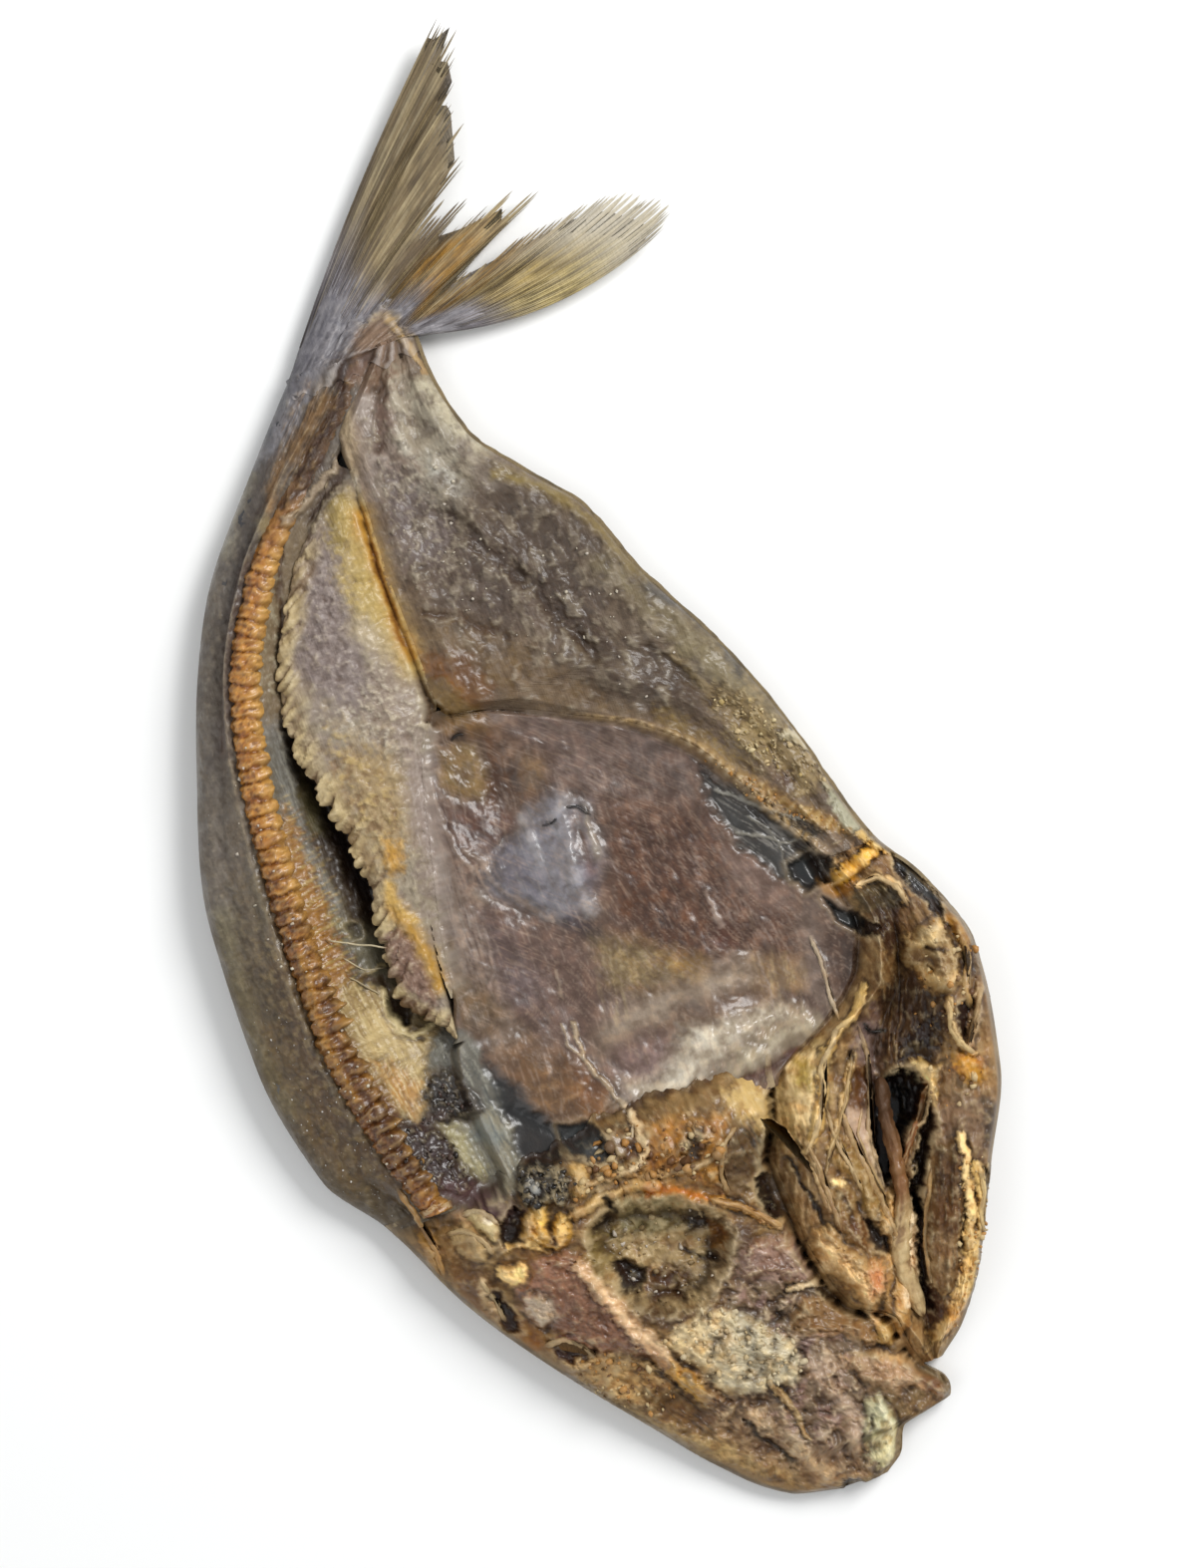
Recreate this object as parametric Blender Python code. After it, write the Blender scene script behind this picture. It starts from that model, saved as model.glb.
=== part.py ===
"""Split, salted and dried catfish, opened flat from the back and lying skin side down.

+X runs from the tail to the snout, +Y across to the free fillet, +Z up. The fish was cut beside
the backbone, so the backbone stays on the left side (-Y). Drawing units are millimetres; every
lengthwise line is a smooth curve through a few points, and every piece is a loft of cross-sections
taken across those lines. The origin is the centre of the floor area that the fish covers.
"""

import math

import bmesh
import bpy
from mathutils import Vector

for old in list(bpy.data.objects):
    bpy.data.objects.remove(old, do_unlink=True)

MM = 0.001
ORIGIN = (-4.5, -6.0)      # drawing point that becomes the origin

# Driving dimensions, mm
SKIN = 1.1                 # skin thickness
GAP = 0.5                  # clearance between neighbouring pieces
FLOOR = SKIN + GAP         # underside of the flesh, above the skin
STATION = 6.0              # spacing of the body's cross-sections
HEAD_STATION = 4.8         # and of the head's
TAIL_X = -141.5            # where body and tail fin meet
HEAD_X = 101.0             # where body and head meet
FLAP_X = (-109.6, 56.0)    # reach of the rib flap
FILLET_END = 44.0          # front end of the free fillet
ROLL_L = 6.5               # width of the rolled left edge
ROLL_R = 6.0               # width of the right edge's turn
VERTEBRA = 4.8             # pitch of the backbone
TOOTH = 1.6                # half depth of the saw-tooth rib edge
FIN = 1.5                  # thickness of the tail fin at its tips


def curve(*points):
    """Smooth line through (x, value) points that never overshoots them."""
    steps = [(b[1] - a[1]) / (b[0] - a[0]) for a, b in zip(points, points[1:])]
    slopes = [steps[0]]
    for before, after in zip(steps, steps[1:]):
        same = before * after > 0
        slopes.append(2 * before * after / (before + after) if same else 0.0)
    slopes.append(steps[-1])

    def value(x):
        x = min(max(x, points[0][0]), points[-1][0])
        i = max(n for n in range(len(points) - 1) if points[n][0] <= x)
        (x0, v0), (x1, v1) = points[i], points[i + 1]
        w = x1 - x0
        t = (x - x0) / w
        rise = (v1 - v0) * t * t * (3 - 2 * t)
        return v0 + rise + w * t * (1 - t) * (slopes[i] * (1 - t) - slopes[i + 1] * t)

    return value


def stretch(line, x):
    """Widening of an offset that is measured along Y on a slanting line."""
    return math.hypot(1.0, (line(x + 1.0) - line(x - 1.0)) / 2.0)


def lerp(a, b, t):
    return a + (b - a) * t


# Lines seen from above: y for each x
left = curve((-142, -31), (-126, -46), (-89, -77), (-47, -96), (2, -110), (45, -112), (82, -106),
             (102, -93), (132, -79), (158, -62), (184, -42), (203, -27), (219, -9), (223, 6))
right = curve((-142, 10), (-134, 10), (-111, 14), (-95, 25), (-77, 39), (-55, 47), (-39, 55),
              (-20, 64), (10, 74), (27, 78), (44, 83), (61, 93), (85, 100), (122, 94), (148, 81),
              (175, 67), (190, 56), (197, 47))
spine = curve((-142, -10), (-136, -14), (-110, -41), (-91, -58), (-62, -74), (-35, -81), (-3, -85),
              (42, -87), (75, -83), (101, -77))
slit_line = curve((-142, -3), (-120, -22), (-100, -47), (-57, -66), (-42, -68), (0, -62),
                  (44, -66), (60, -66), (101, -62))
seam = curve((-112, -22.5), (-74, -25), (-39, -25), (-26, -33), (-2, -40), (37, -49), (56, -51))
fillet_inner = curve((-142, -2.4), (-114, -25.5), (-110.5, -22.5), (-74, -25), (-42, -24.7),
                     (-34, -21), (-30, -8), (-21, 8), (-11, 26), (3, 41), (33, 57), (44, 65))
middle = curve((42, 64), (55, 66), (66, 68), (80, 63), (90, 51), (102, 30), (112, 27), (125, 20),
               (146, 20), (160, 22), (172, 26), (180, 37), (190, 38), (197, 40))
lining_left = curve((-33, -27.0), (-26, -32.4), (-2, -39.4), (37, -48.4), (56.6, -50.2),
                    (60, -55.2), (70, -57.0), (101, -55.0))
snout_right = curve((197, 40), (204, 45), (208, 44), (211.5, 28), (219, 24), (223, 18))

# Heights for each x
crest_z = curve((-142, 13), (-120, 17), (-90, 20), (-40, 22), (30, 22), (70, 20), (101, 17))
rim_z = curve((-142, 11), (-90, 14), (0, 15.5), (60, 14), (101, 11))
spine_z = curve((-142, 10), (-120, 14), (-90, 17.5), (-40, 20), (40, 20), (75, 19), (101, 16.5))
spine_r = curve((-142, 2.2), (-110, 3.2), (-70, 4.2), (60, 4.4), (101, 3.6))
slit_z = curve((-142, 8), (-60, 7), (101, 6.5))
flap_z = curve((-111, 15), (-60, 18.5), (0, 18), (56, 13.5))
seam_z = curve((-142, 11), (-90, 15.5), (-40, 14.5), (56, 11))


def seat(x):
    """Half width of the groove that the backbone lies in."""
    return (spine_r(x) + 0.75) * stretch(spine, x)


def slit(x):
    """Bottom of the long slit, never under the backbone."""
    return max(slit_line(x), spine(x) + seat(x) + 1.8 * stretch(spine, x))


def foot(x):
    """Right edge of the backbone side's flesh, under the rib flap."""
    if x < FLAP_X[0]:
        return min(slit(x), fillet_inner(x)) - 0.3
    if x > 59:
        return lining_left(x) - GAP - 0.3
    return slit(x) + min(9.5, 0.4 * (seam(x) - slit(x)))


def finish(name, mesh, colour, roughness, smooth=42.0):
    """Makes the object with its own material, its normals outward and its round faces smooth."""
    bmesh.ops.recalc_face_normals(mesh, faces=mesh.faces)
    bmesh.ops.triangulate(mesh, faces=mesh.faces)
    for vert in mesh.verts:
        vert.co = Vector(((vert.co.x - ORIGIN[0]) * MM, (vert.co.y - ORIGIN[1]) * MM, vert.co.z * MM))
    data = bpy.data.meshes.new(name)
    mesh.to_mesh(data)
    mesh.free()
    data.shade_smooth()
    data.set_sharp_from_angle(angle=math.radians(smooth))
    material = bpy.data.materials.new(name)
    material.use_nodes = True
    shader = material.node_tree.nodes["Principled BSDF"]
    shader.inputs["Base Color"].default_value = (*colour, 1.0)
    shader.inputs["Roughness"].default_value = roughness
    data.materials.append(material)
    piece = bpy.data.objects.new(name, data)
    bpy.context.scene.collection.objects.link(piece)
    return piece


def loft(name, rings, colour, roughness):
    """Closed solid through rings of (x, y, z) points, each end closed by its own face."""
    mesh = bmesh.new()
    rows = [[mesh.verts.new(point) for point in ring] for ring in rings]
    count = len(rows[0])
    for a, b in zip(rows, rows[1:]):
        for i in range(count):
            j = (i + 1) % count
            mesh.faces.new((a[i], a[j], b[j], b[i]))
    mesh.faces.new(rows[0][::-1])
    mesh.faces.new(rows[-1])
    return finish(name, mesh, colour, roughness)


def stations(first, last, step, marks=()):
    """Cross-sections on a grid that neighbouring pieces share, so that their sides agree."""
    grid = [step * n for n in range(-60, 60)] + list(marks)
    inside = [x for x in grid if first + 1.4 < x < last - 1.4]
    return sorted([first, last] + inside)


def body_stations(first, last):
    return stations(first, last, STATION, (-33.0, -113.0, -110.0, 56.6))


def turn(edge, side, wide, width, height, inset, angles):
    """Arc of a rolled edge: 0 degrees is its outermost point, -90 its lowest."""
    points = []
    for angle in angles:
        a = math.radians(angle)
        y = edge + side * wide * (width - (width - inset) * math.cos(a))
        points.append((y, height / 2 + (height / 2 - inset) * math.sin(a)))
    return points


def section(x, points):
    return [(x, y, z) for y, z in points]


# Skin: a thin tray under the whole body, rolled over the left fillet and turned up at the right
def skin_ring(x):
    kl, kr = stretch(left, x), stretch(right, x)
    over = (66, 35, 0, -35, -62, -90)
    up = (-90, -55, -22, 10)
    points = turn(left(x), 1, kl, ROLL_L, rim_z(x), 0, over)
    points += turn(right(x), -1, kr, ROLL_R, 13, 0, up)
    points += turn(right(x), -1, kr, ROLL_R, 13, SKIN, up[::-1])
    points += turn(left(x), 1, kl, ROLL_L, rim_z(x), SKIN, over[::-1])
    return section(x, points)


loft("skin", [skin_ring(x) for x in body_stations(TAIL_X, HEAD_X)], (0.16, 0.17, 0.19), 0.5)


# Backbone side: crest, groove of the backbone, wall down to the slit and its floor
def left_ring(x):
    kl, ks = stretch(left, x), stretch(spine, x)
    y, z, half = spine(x), spine_z(x), seat(x)
    points = turn(left(x), 1, kl, ROLL_L, rim_z(x), FLOOR, (-90, -62, -35, 0, 35, 58))
    points.append((left(x) + 7.0 * kl, rim_z(x) + 0.1))
    points.append((y - half - 1.4 * ks, crest_z(x)))
    deep = half / ks
    points += [(y - half, z + 1.2), (y - 0.72 * half, z - 0.72 * deep), (y, z - deep)]
    points += [(y + 0.72 * half, z - 0.72 * deep), (y + half, z + 0.6)]
    low = min(slit(x), foot(x) - 0.4)
    points.append((lerp(y + half, low, 0.45), lerp(z, slit_z(x), 0.3)))
    points += [(low, slit_z(x) + 0.5), (foot(x), slit_z(x)), (foot(x), FLOOR)]
    return section(x, points)


loft("left_fillet", [left_ring(x) for x in body_stations(TAIL_X, HEAD_X)],
     (0.20, 0.17, 0.11), 0.4)


# Backbone: a string of waisted vertebrae along its line
def vertebra_ring(x, scale, sides=8):
    along = Vector((1.0, (spine(x + 1) - spine(x - 1)) / 2, 0)).normalized()
    across = Vector((-along.y, along.x, 0))
    ring = []
    for i in range(sides):
        a = 2 * math.pi * (i + 0.5) / sides
        ring.append(Vector((x, spine(x), spine_z(x)))
                    + across * math.cos(a) * spine_r(x) * scale
                    + Vector((0, 0, math.sin(a) * spine_r(x) * scale)))
    return ring


def vertebrae():
    rings, x = [], TAIL_X + 0.4
    while x < HEAD_X - 5:
        step = VERTEBRA / stretch(spine, x)
        for part, scale in ((0.0, 0.76), (0.3, 1.0), (0.72, 0.97)):
            rings.append(vertebra_ring(x + part * step, scale))
        x += step
    rings.append(vertebra_ring(x, 0.7))
    return rings


loft("backbone", vertebrae(), (0.38, 0.20, 0.05), 0.4)


# Rib flap: the rib wall folded over the slit, with a saw-tooth free edge
def flap_ring(x, tooth):
    wide = seam(x) - slit(x)
    reach = min(1.0, wide / 16)
    wall = spine(x) + seat(x) + 3.0 * stretch(spine, x)
    edge = max(slit(x) + (tooth - 0.2) * reach, wall + (tooth + TOOTH) * 0.5 * reach)
    end = max(0.0, (x - 38.0) / (FLAP_X[1] - 38.0)) ** 2
    edge = lerp(edge, seam(x) - 2.5, end)
    root = foot(x) + GAP
    top, low = lerp(flap_z(x), seam_z(x) + 0.5, end), slit_z(x)
    points = [(edge, top - 3.4), (lerp(edge, seam(x), 0.14), top - 1.0)]
    points += [(lerp(edge, seam(x), 0.42), top), (lerp(edge, seam(x), 0.74), top - 0.6)]
    points += [(seam(x) - 0.3, seam_z(x)), (seam(x) - 0.3, FLOOR), (root, FLOOR), (root, low + 1.6)]
    points.append((lerp(root, edge, 0.55), lerp(low, top, 0.42)))
    return section(x, points)


def flap_rings():
    count = round((FLAP_X[1] - FLAP_X[0]) / VERTEBRA * 2)
    places = [lerp(*FLAP_X, n / count) for n in range(count + 1)]
    return [flap_ring(x, TOOTH if n % 2 else -TOOTH) for n, x in enumerate(places)]


loft("rib_flap", flap_rings(), (0.43, 0.33, 0.19), 0.55)


# Free fillet: two furrows along it, cut edge on its right
def fillet_ring(x):
    inner, outer, kr = fillet_inner(x) + 0.3, right(x), stretch(right, x)
    if x > FLAP_X[0] - 1.0:
        inner = max(inner, seam(x) + 0.35)
    lip = outer - 3.2 * kr
    tall = curve((-142, 0.72), (-95, 1.0), (0, 1.0), (44, 0.86))(x)
    shape = ((0, 14.5), (0.12, 16.8), (0.34, 13.4), (0.52, 15.8), (0.72, 13.0), (0.88, 14.2), (1, 12.6))
    points = [(inner, FLOOR)]
    points += [(lerp(inner, lip, f), z * tall) for f, z in shape]
    points.append((outer - (FLOOR + 0.3) * kr, 9.4 * tall + 0.6))
    points += turn(outer, -1, kr, ROLL_R, 13, FLOOR, (4, -28, -58, -90))
    return section(x, points)


loft("right_fillet", [fillet_ring(x) for x in body_stations(TAIL_X, FILLET_END - GAP)],
     (0.20, 0.17, 0.14), 0.45)


# Belly lining: a bowl with a bulge at the front, a raised fold and a low middle
HILLS = ((79, -29, 17, 4.2), (20, -8, 12, 2.6), (96, 20, 14, 5.0), (78, 20, 9, 2.4), (8, -30, 9, 2.6),
         (56, 30, 12, 1.6), (60, -50, 9, 1.6), (98, -40, 9, 3.0))


def hill(x, y, places):
    total = 0.0
    for hx, hy, radius, height in places:
        total += height * math.exp(-((x - hx) ** 2 + (y - hy) ** 2) / radius ** 2)
    return total



def lining_ring(x):
    inner = lining_left(x)
    outer = (fillet_inner(x) if x < 43.5 else middle(x)) - 0.4
    points = [(inner, FLOOR)]
    for n in range(15):
        f = n / 14
        y = lerp(inner, outer, f)
        bank = 13.4 * (1 - f) ** 5 + 12.5 * f ** 6
        bowl = 7.0 + 5.0 * math.exp(-((x + 33) / 18) ** 2) + 2.5 * math.exp(-((x - 101) / 12) ** 2)
        points.append((y, bowl * (1 - 0.55 * max((1 - f) ** 5, f ** 6)) + 0.75 * bank + hill(x, y, HILLS) * 0.8))
    points.append((outer, FLOOR))
    return section(x, points)


loft("belly_lining", [lining_ring(x) for x in body_stations(-33, HEAD_X)], (0.17, 0.13, 0.10), 0.3)


# Skull half: outer roll, bone plate, round brain cavity with its rim, palate and blunt snout
CAVITY = (137, -21, 17)
LUMPS = ((109, -38, 12, 7), (109, 8, 14, 7), (118, -64, 12, 5), (130, -48, 14, 6), (152, -38, 12, 4),
         (163, 6, 10, -4), (176, 22, 12, -3.5), (168, -18, 12, 3), (106, -80, 9, -2), (207, 8, 12, 2.5))
skull_z = curve((101.5, 15), (106, 20), (118, 23), (150, 23), (175, 19), (200, 14), (216, 11), (223, 8))


def skull_top(x, y, f):
    far = math.hypot(x - CAVITY[0], y - CAVITY[1]) / CAVITY[2]
    pit = -13 * math.exp(-far ** 4) + 5 * math.exp(-((far - 1.25) / 0.28) ** 2)
    slope = 1 - 0.36 * (1 - f) ** 3 - 0.42 * f ** 7
    return max(6.0, skull_z(x) * slope + hill(x, y, LUMPS) + pit)


def skull_ring(x):
    kl = min(1.8, stretch(left, x))
    outer = left(x)
    inner = (middle(x) if x < 197 else snout_right(x)) - 0.3
    width = min(9.0, 0.3 * (inner - outer) / kl)
    start, end = outer + width * kl, inner - 2.0
    points = turn(outer, 1, kl, width, 1.3 * skull_top(x, outer, 0) * 0.7, 0, (-90, -50, -12, 25, 55))
    for n in range(18):
        f = n / 17
        y = lerp(start, end, f)
        points.append((y, skull_top(x, y, f)))
    points += [(inner, 5.0), (inner, 2.5), (inner - 2.0, 0)]
    return section(x, points)


loft("head_left", [skull_ring(x) for x in stations(HEAD_X + GAP + 0.3, 222.5, HEAD_STATION)],
     (0.27, 0.19, 0.12), 0.5)


# Gill side of the other half: membrane crest, deep cleft and the long bony strip
crest_y = curve((44, 68), (66, 74), (85, 69), (96, 51), (110, 37), (146, 31), (172, 36), (188, 42), (196, 43.5))
cleft_y = curve((44, 71), (70, 79), (86, 75), (106, 60), (145, 53), (170, 45), (186, 45.5), (196, 44.5))
strip_y = curve((44, 74), (66, 85), (85, 87), (111, 85), (145, 70), (170, 58), (188, 50.5), (196, 45.5))
crest_top = curve((44, 13), (60, 17), (82, 23), (100, 18), (120, 21), (155, 24), (172, 20), (196, 7))
cleft_top = curve((44, 11), (82, 13), (104, 7), (145, 6), (170, 6), (196, 5))
strip_top = curve((44, 12), (66, 17), (82, 27), (111, 28), (145, 29), (170, 23), (196, 7))


def gill_ring(x):
    inner, outer = middle(x) + 0.4, right(x)
    kr = stretch(right, x)
    inset = FLOOR if x < HEAD_X + GAP + 0.3 else 0.0
    a, b, c = crest_y(x), cleft_y(x), strip_y(x)
    points = [(inner + 1.0 - inset / 3, inset), (inner, inset + 2.5), (inner, 6.0)]
    points += [(lerp(inner, a, 0.5), lerp(6.0, crest_top(x), 0.8)), (a, crest_top(x))]
    points += [(lerp(a, b, 0.4), lerp(crest_top(x), cleft_top(x), 0.55)), (lerp(a, b, 0.8), cleft_top(x))]
    points += [(lerp(b, c, 0.3), cleft_top(x) + 0.5), (lerp(b, c, 0.65), lerp(cleft_top(x), strip_top(x), 0.8))]
    points.append((c, strip_top(x)))
    width = ROLL_R if inset else min(ROLL_R, 0.5 * (outer - c) / kr)
    edge = outer - inset * kr
    points.append((lerp(c, edge, 0.55), 0.86 * strip_top(x)))
    points.append((lerp(c, edge, 0.92), max(0.5 * strip_top(x), 7.8)))
    points += turn(outer, -1, kr, width, min(13, strip_top(x)) if not inset else 13, inset,
                   (4, -28, -58, -90))
    return section(x, points)


def gill_stations():
    return body_stations(FILLET_END, HEAD_X + GAP) + stations(HEAD_X + GAP + 0.9, 196, HEAD_STATION)


loft("head_right", [gill_ring(x) for x in gill_stations()], (0.36, 0.25, 0.13), 0.55)


# A loose bone of the gill arch, standing in the cleft
def prong_ring(x, sides=8):
    share = (x - 112) / (183 - 112)
    wide = lerp(3.6, 1.2, share) * (0.45 if share in (0, 1) else 1)
    tall = lerp(5.4, 2.0, share) * (0.5 if share in (0, 1) else 1)
    base = cleft_top(x) + 0.7 + tall
    ring = []
    for i in range(sides):
        a = 2 * math.pi * (i + 0.5) / sides
        ring.append((x, cleft_y(x) + 0.4 + wide * math.cos(a), base + tall * math.sin(a)))
    return ring


loft("gill_prong", [prong_ring(x) for x in stations(112, 183, HEAD_STATION)], (0.42, 0.30, 0.15), 0.5)


# Tail fin: rays fanned from the thick tail root to a frayed, forked edge
ROOT = ((TAIL_X - GAP, -31.0), (TAIL_X - GAP, 10.0))
EDGE = ((-231.5, 54), (-221, 55), (-205, 48), (-185, 43), (-181, 33), (-176, 42), (-169, 35), (-173, 52),
        (-169.5, 62), (-161, 43), (-155.5, 32), (-157, 50), (-159, 74), (-154, 86), (-148.5, 90), (-144, 87))
SHARE = (0, 0.06, 0.14, 0.24, 0.3, 0.36, 0.42, 0.48, 0.54, 0.6, 0.66, 0.72, 0.8, 0.88, 0.95, 1)


def fin_point(share, out):
    """A point of the fan: share runs across the rays, out from the root to the frayed edge."""
    root = [lerp(ROOT[0][i], ROOT[1][i], share) for i in (0, 1)]
    tip = [curve(*((s, e[i]) for s, e in zip(SHARE, EDGE)))(share) for i in (0, 1)]
    bow = 4 * out * (1 - out)
    x = lerp(root[0], tip[0], out) + bow * lerp(-1.0, 7.0, share ** 3)
    y = lerp(root[1], tip[1], out) - bow * lerp(3.0, 0.0, share)
    thick = lerp(11.5, FIN, 1 - (1 - min(1.0, out * 2.6)) ** 2) if out < 0.385 else FIN
    side = 4 * share * (1 - share)
    thick = max(FIN, thick * (0.35 + 0.65 * min(1.0, side * 1.6)))
    wave = 1.2 * math.sin(11 * share) * out + 4.5 * out * out * (1 - 0.6 * side)
    return x, y, 6.2 - 1.8 * out + wave, thick / 2


def fin(rays=30, steps=8):
    mesh = bmesh.new()
    sheets = {}
    for side in (1, -1):
        for r in range(rays + 1):
            for s in range(steps + 1):
                x, y, z, half = fin_point(r / rays, s / steps)
                sheets[side, r, s] = mesh.verts.new((x, y, z + side * half))
    for side in (1, -1):
        for r in range(rays):
            for s in range(steps):
                mesh.faces.new((sheets[side, r, s], sheets[side, r + 1, s],
                                sheets[side, r + 1, s + 1], sheets[side, r, s + 1])[::side])
    rim = [(0, s) for s in range(steps)] + [(r, steps) for r in range(rays)]
    rim += [(rays, s) for s in range(steps, 0, -1)] + [(r, 0) for r in range(rays, 0, -1)]
    for a, b in zip(rim, rim[1:] + rim[:1]):
        mesh.faces.new((sheets[1, *a], sheets[1, *b], sheets[-1, *b], sheets[-1, *a]))
    return mesh


finish("tail_fin", fin(), (0.33, 0.27, 0.17), 0.5)
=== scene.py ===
"""Looks of the split, salted and dried catfish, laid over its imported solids."""

import math

import bpy
import numpy as np
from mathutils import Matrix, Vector


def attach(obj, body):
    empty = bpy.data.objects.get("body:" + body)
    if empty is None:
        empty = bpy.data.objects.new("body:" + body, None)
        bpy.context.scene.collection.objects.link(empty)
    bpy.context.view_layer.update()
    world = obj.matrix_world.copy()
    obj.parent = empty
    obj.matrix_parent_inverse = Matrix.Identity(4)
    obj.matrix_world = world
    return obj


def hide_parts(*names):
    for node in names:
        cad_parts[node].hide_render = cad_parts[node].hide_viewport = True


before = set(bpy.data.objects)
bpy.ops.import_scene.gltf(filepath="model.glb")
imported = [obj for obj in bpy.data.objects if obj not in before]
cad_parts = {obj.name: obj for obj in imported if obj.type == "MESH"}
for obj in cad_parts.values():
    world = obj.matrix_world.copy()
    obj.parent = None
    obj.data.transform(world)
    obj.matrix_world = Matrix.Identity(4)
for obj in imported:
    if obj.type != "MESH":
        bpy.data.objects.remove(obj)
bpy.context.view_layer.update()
bpy.ops.object.select_all(action="DESELECT")

# ---------------------------------------------------------------- Studio
# A pale table top, a large soft lamp over the free fillet's side, a weaker one opposite, and the
# camera straight above the fish, turned so that the tail points up and to the left.
# The fish was drawn on a plan, 0.4 mm to the unit, turned 21 degrees from its own length.
UNIT = 0.4
TURN = math.radians(21)
SIN, COS = math.sin(TURN), math.cos(TURN)
PLAN_CENTRE = (330, 470)
ORIGIN = (-4.5, -6.0)
MM = 0.001
TABLE_SIZE, TABLE_DROP = 40, 0.0003
LENS, SENSOR_HEIGHT = 100, 36
FRAME_HEIGHT = 0.462
FRAME_CENTRE, FISH_MIDDLE = (363, 462.5), 14


def on_plan(right, down):
    """Plan units to millimetres along and across the fish."""
    a, b = right - PLAN_CENTRE[0], down - PLAN_CENTRE[1]
    return UNIT * (SIN * a + COS * b), UNIT * (COS * a - SIN * b)


def to_scene(x, y, z):
    return Vector(((x - ORIGIN[0]) * MM, (y - ORIGIN[1]) * MM, z * MM))


RIGHTWARD = Vector((SIN, COS, 0))
UPWARD = Vector((-COS, SIN, 0))

bpy.ops.mesh.primitive_plane_add(size=TABLE_SIZE, location=(0, 0, 0))
table = bpy.context.object
table.name = "table_top"
table.data.transform(table.matrix_world)
table.matrix_world.identity()
for vert in table.data.vertices:
    vert.co.z = -TABLE_DROP
pale = bpy.data.materials.new("pale_table")
pale.use_nodes = True
sockets = pale.node_tree.nodes["Principled BSDF"].inputs
sockets["Base Color"].default_value = (0.86, 0.86, 0.85, 1)
sockets["Roughness"].default_value = 0.7
table.data.materials.append(pale)

world = bpy.data.worlds.new("studio")
world.use_nodes = True
sockets = world.node_tree.nodes["Background"].inputs
sockets["Color"].default_value = (0.96, 0.98, 1.0, 1)
sockets["Strength"].default_value = 0.55
bpy.context.scene.world = world
bpy.context.scene.view_settings.view_transform = "Standard"


def lamp(name, along, side, height, size, power):
    """A square soft lamp aimed at the fish; along and side are on the plan, right and up."""
    place = RIGHTWARD * side + UPWARD * along + Vector((0, 0, height))
    bpy.ops.object.light_add(type="AREA", location=place)
    light = bpy.context.object
    light.name = name
    light.data.shape = "SQUARE"
    light.data.size = size
    light.data.energy = power
    light.rotation_euler = (-place).to_track_quat("-Z", "Y").to_euler()


lamp("key_lamp", along=0.75, side=0.85, height=1.15, size=0.7, power=24)
lamp("fill_lamp", along=-0.5, side=-1.0, height=1.2, size=1.4, power=6)

bpy.ops.object.camera_add(location=(0, 0, 0))
camera = bpy.context.object
camera.name = "top_camera"
camera.data.lens = LENS
camera.data.sensor_fit = "VERTICAL"
camera.data.sensor_height = SENSOR_HEIGHT
distance = FRAME_HEIGHT * LENS / SENSOR_HEIGHT
centre = to_scene(*on_plan(*FRAME_CENTRE), FISH_MIDDLE)
camera.location = centre + Vector((0, 0, distance))
camera.rotation_euler = (0, 0, math.atan2(RIGHTWARD.y, RIGHTWARD.x))
camera.data.clip_end = 20
bpy.context.scene.camera = camera


# ---------------------------------------------------------------- Skin
# The whole skin of the body, slate blue and grey, wrinkled as it dried. It lies under the flesh,
# rolls over the fish's left edge and ends in a thin tan rim with brown blotches at the right.
REPEAT = 128  # steps after which a random field repeats
PIGMENT = (0.88, 0.855, 0.81)  # how much of each mixed colour the lamps leave to see
CONTACT_SHADE = (66, 46, 28)  # painted shade: the dark line where one form touches the next
GROUND_STEP, GROUND_CORNER, GROUND_SIZE = 0.6, (240, 125), (800, 417)  # grid of the laid surfaces


def curve(*points):
    """Smooth line through (x, value) points that never overshoots them."""
    xs = np.array([p[0] for p in points], float)
    vs = np.array([p[1] for p in points], float)
    steps = np.diff(vs) / np.diff(xs)
    slopes = np.concatenate([steps[:1], np.zeros(len(xs) - 2), steps[-1:]])
    for n in range(1, len(xs) - 1):
        if steps[n - 1] * steps[n] > 0:
            slopes[n] = 2 * steps[n - 1] * steps[n] / (steps[n - 1] + steps[n])

    def value(x):
        x = np.clip(x, xs[0], xs[-1])
        i = np.clip(np.searchsorted(xs, x, "right") - 1, 0, len(xs) - 2)
        w = xs[i + 1] - xs[i]
        t = (x - xs[i]) / w
        rise = (vs[i + 1] - vs[i]) * t * t * (3 - 2 * t)
        return vs[i] + rise + w * t * (1 - t) * (slopes[i] * (1 - t) - slopes[i + 1] * t)

    return value


def stretch(line, x):
    """Widening of an offset measured across the fish on a slanting line."""
    return np.hypot(1.0, (line(x + 1.0) - line(x - 1.0)) / 2.0)


def lerp(a, b, t):
    return a + (b - a) * t


def bell(value, centre, width):
    """1 at the centre, falling to 0 a few widths away."""
    return np.exp(-((value - centre) / width) ** 2)


def smooth_step(low, high, value):
    t = np.clip((value - low) / (high - low), 0, 1)
    return t * t * (3 - 2 * t)


def noise(x, y, size, seed):
    """Smooth random field with features of the given size in mm, about -1 to 1."""
    turns = np.random.default_rng(seed).uniform(0, 2 * np.pi, (REPEAT, REPEAT))
    gx, gy = np.asarray(x) / size, np.asarray(y) / size
    i, j = np.floor(gx).astype(int), np.floor(gy).astype(int)
    fx, fy = gx - i, gy - j
    sx = fx * fx * fx * (fx * (fx * 6 - 15) + 10)
    sy = fy * fy * fy * (fy * (fy * 6 - 15) + 10)

    def corner(a, b):
        turn = turns[(i + a) % REPEAT, (j + b) % REPEAT]
        return np.cos(turn) * (fx - a) + np.sin(turn) * (fy - b)

    return 1.6 * lerp(lerp(corner(0, 0), corner(1, 0), sx), lerp(corner(0, 1), corner(1, 1), sx), sy)


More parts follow.
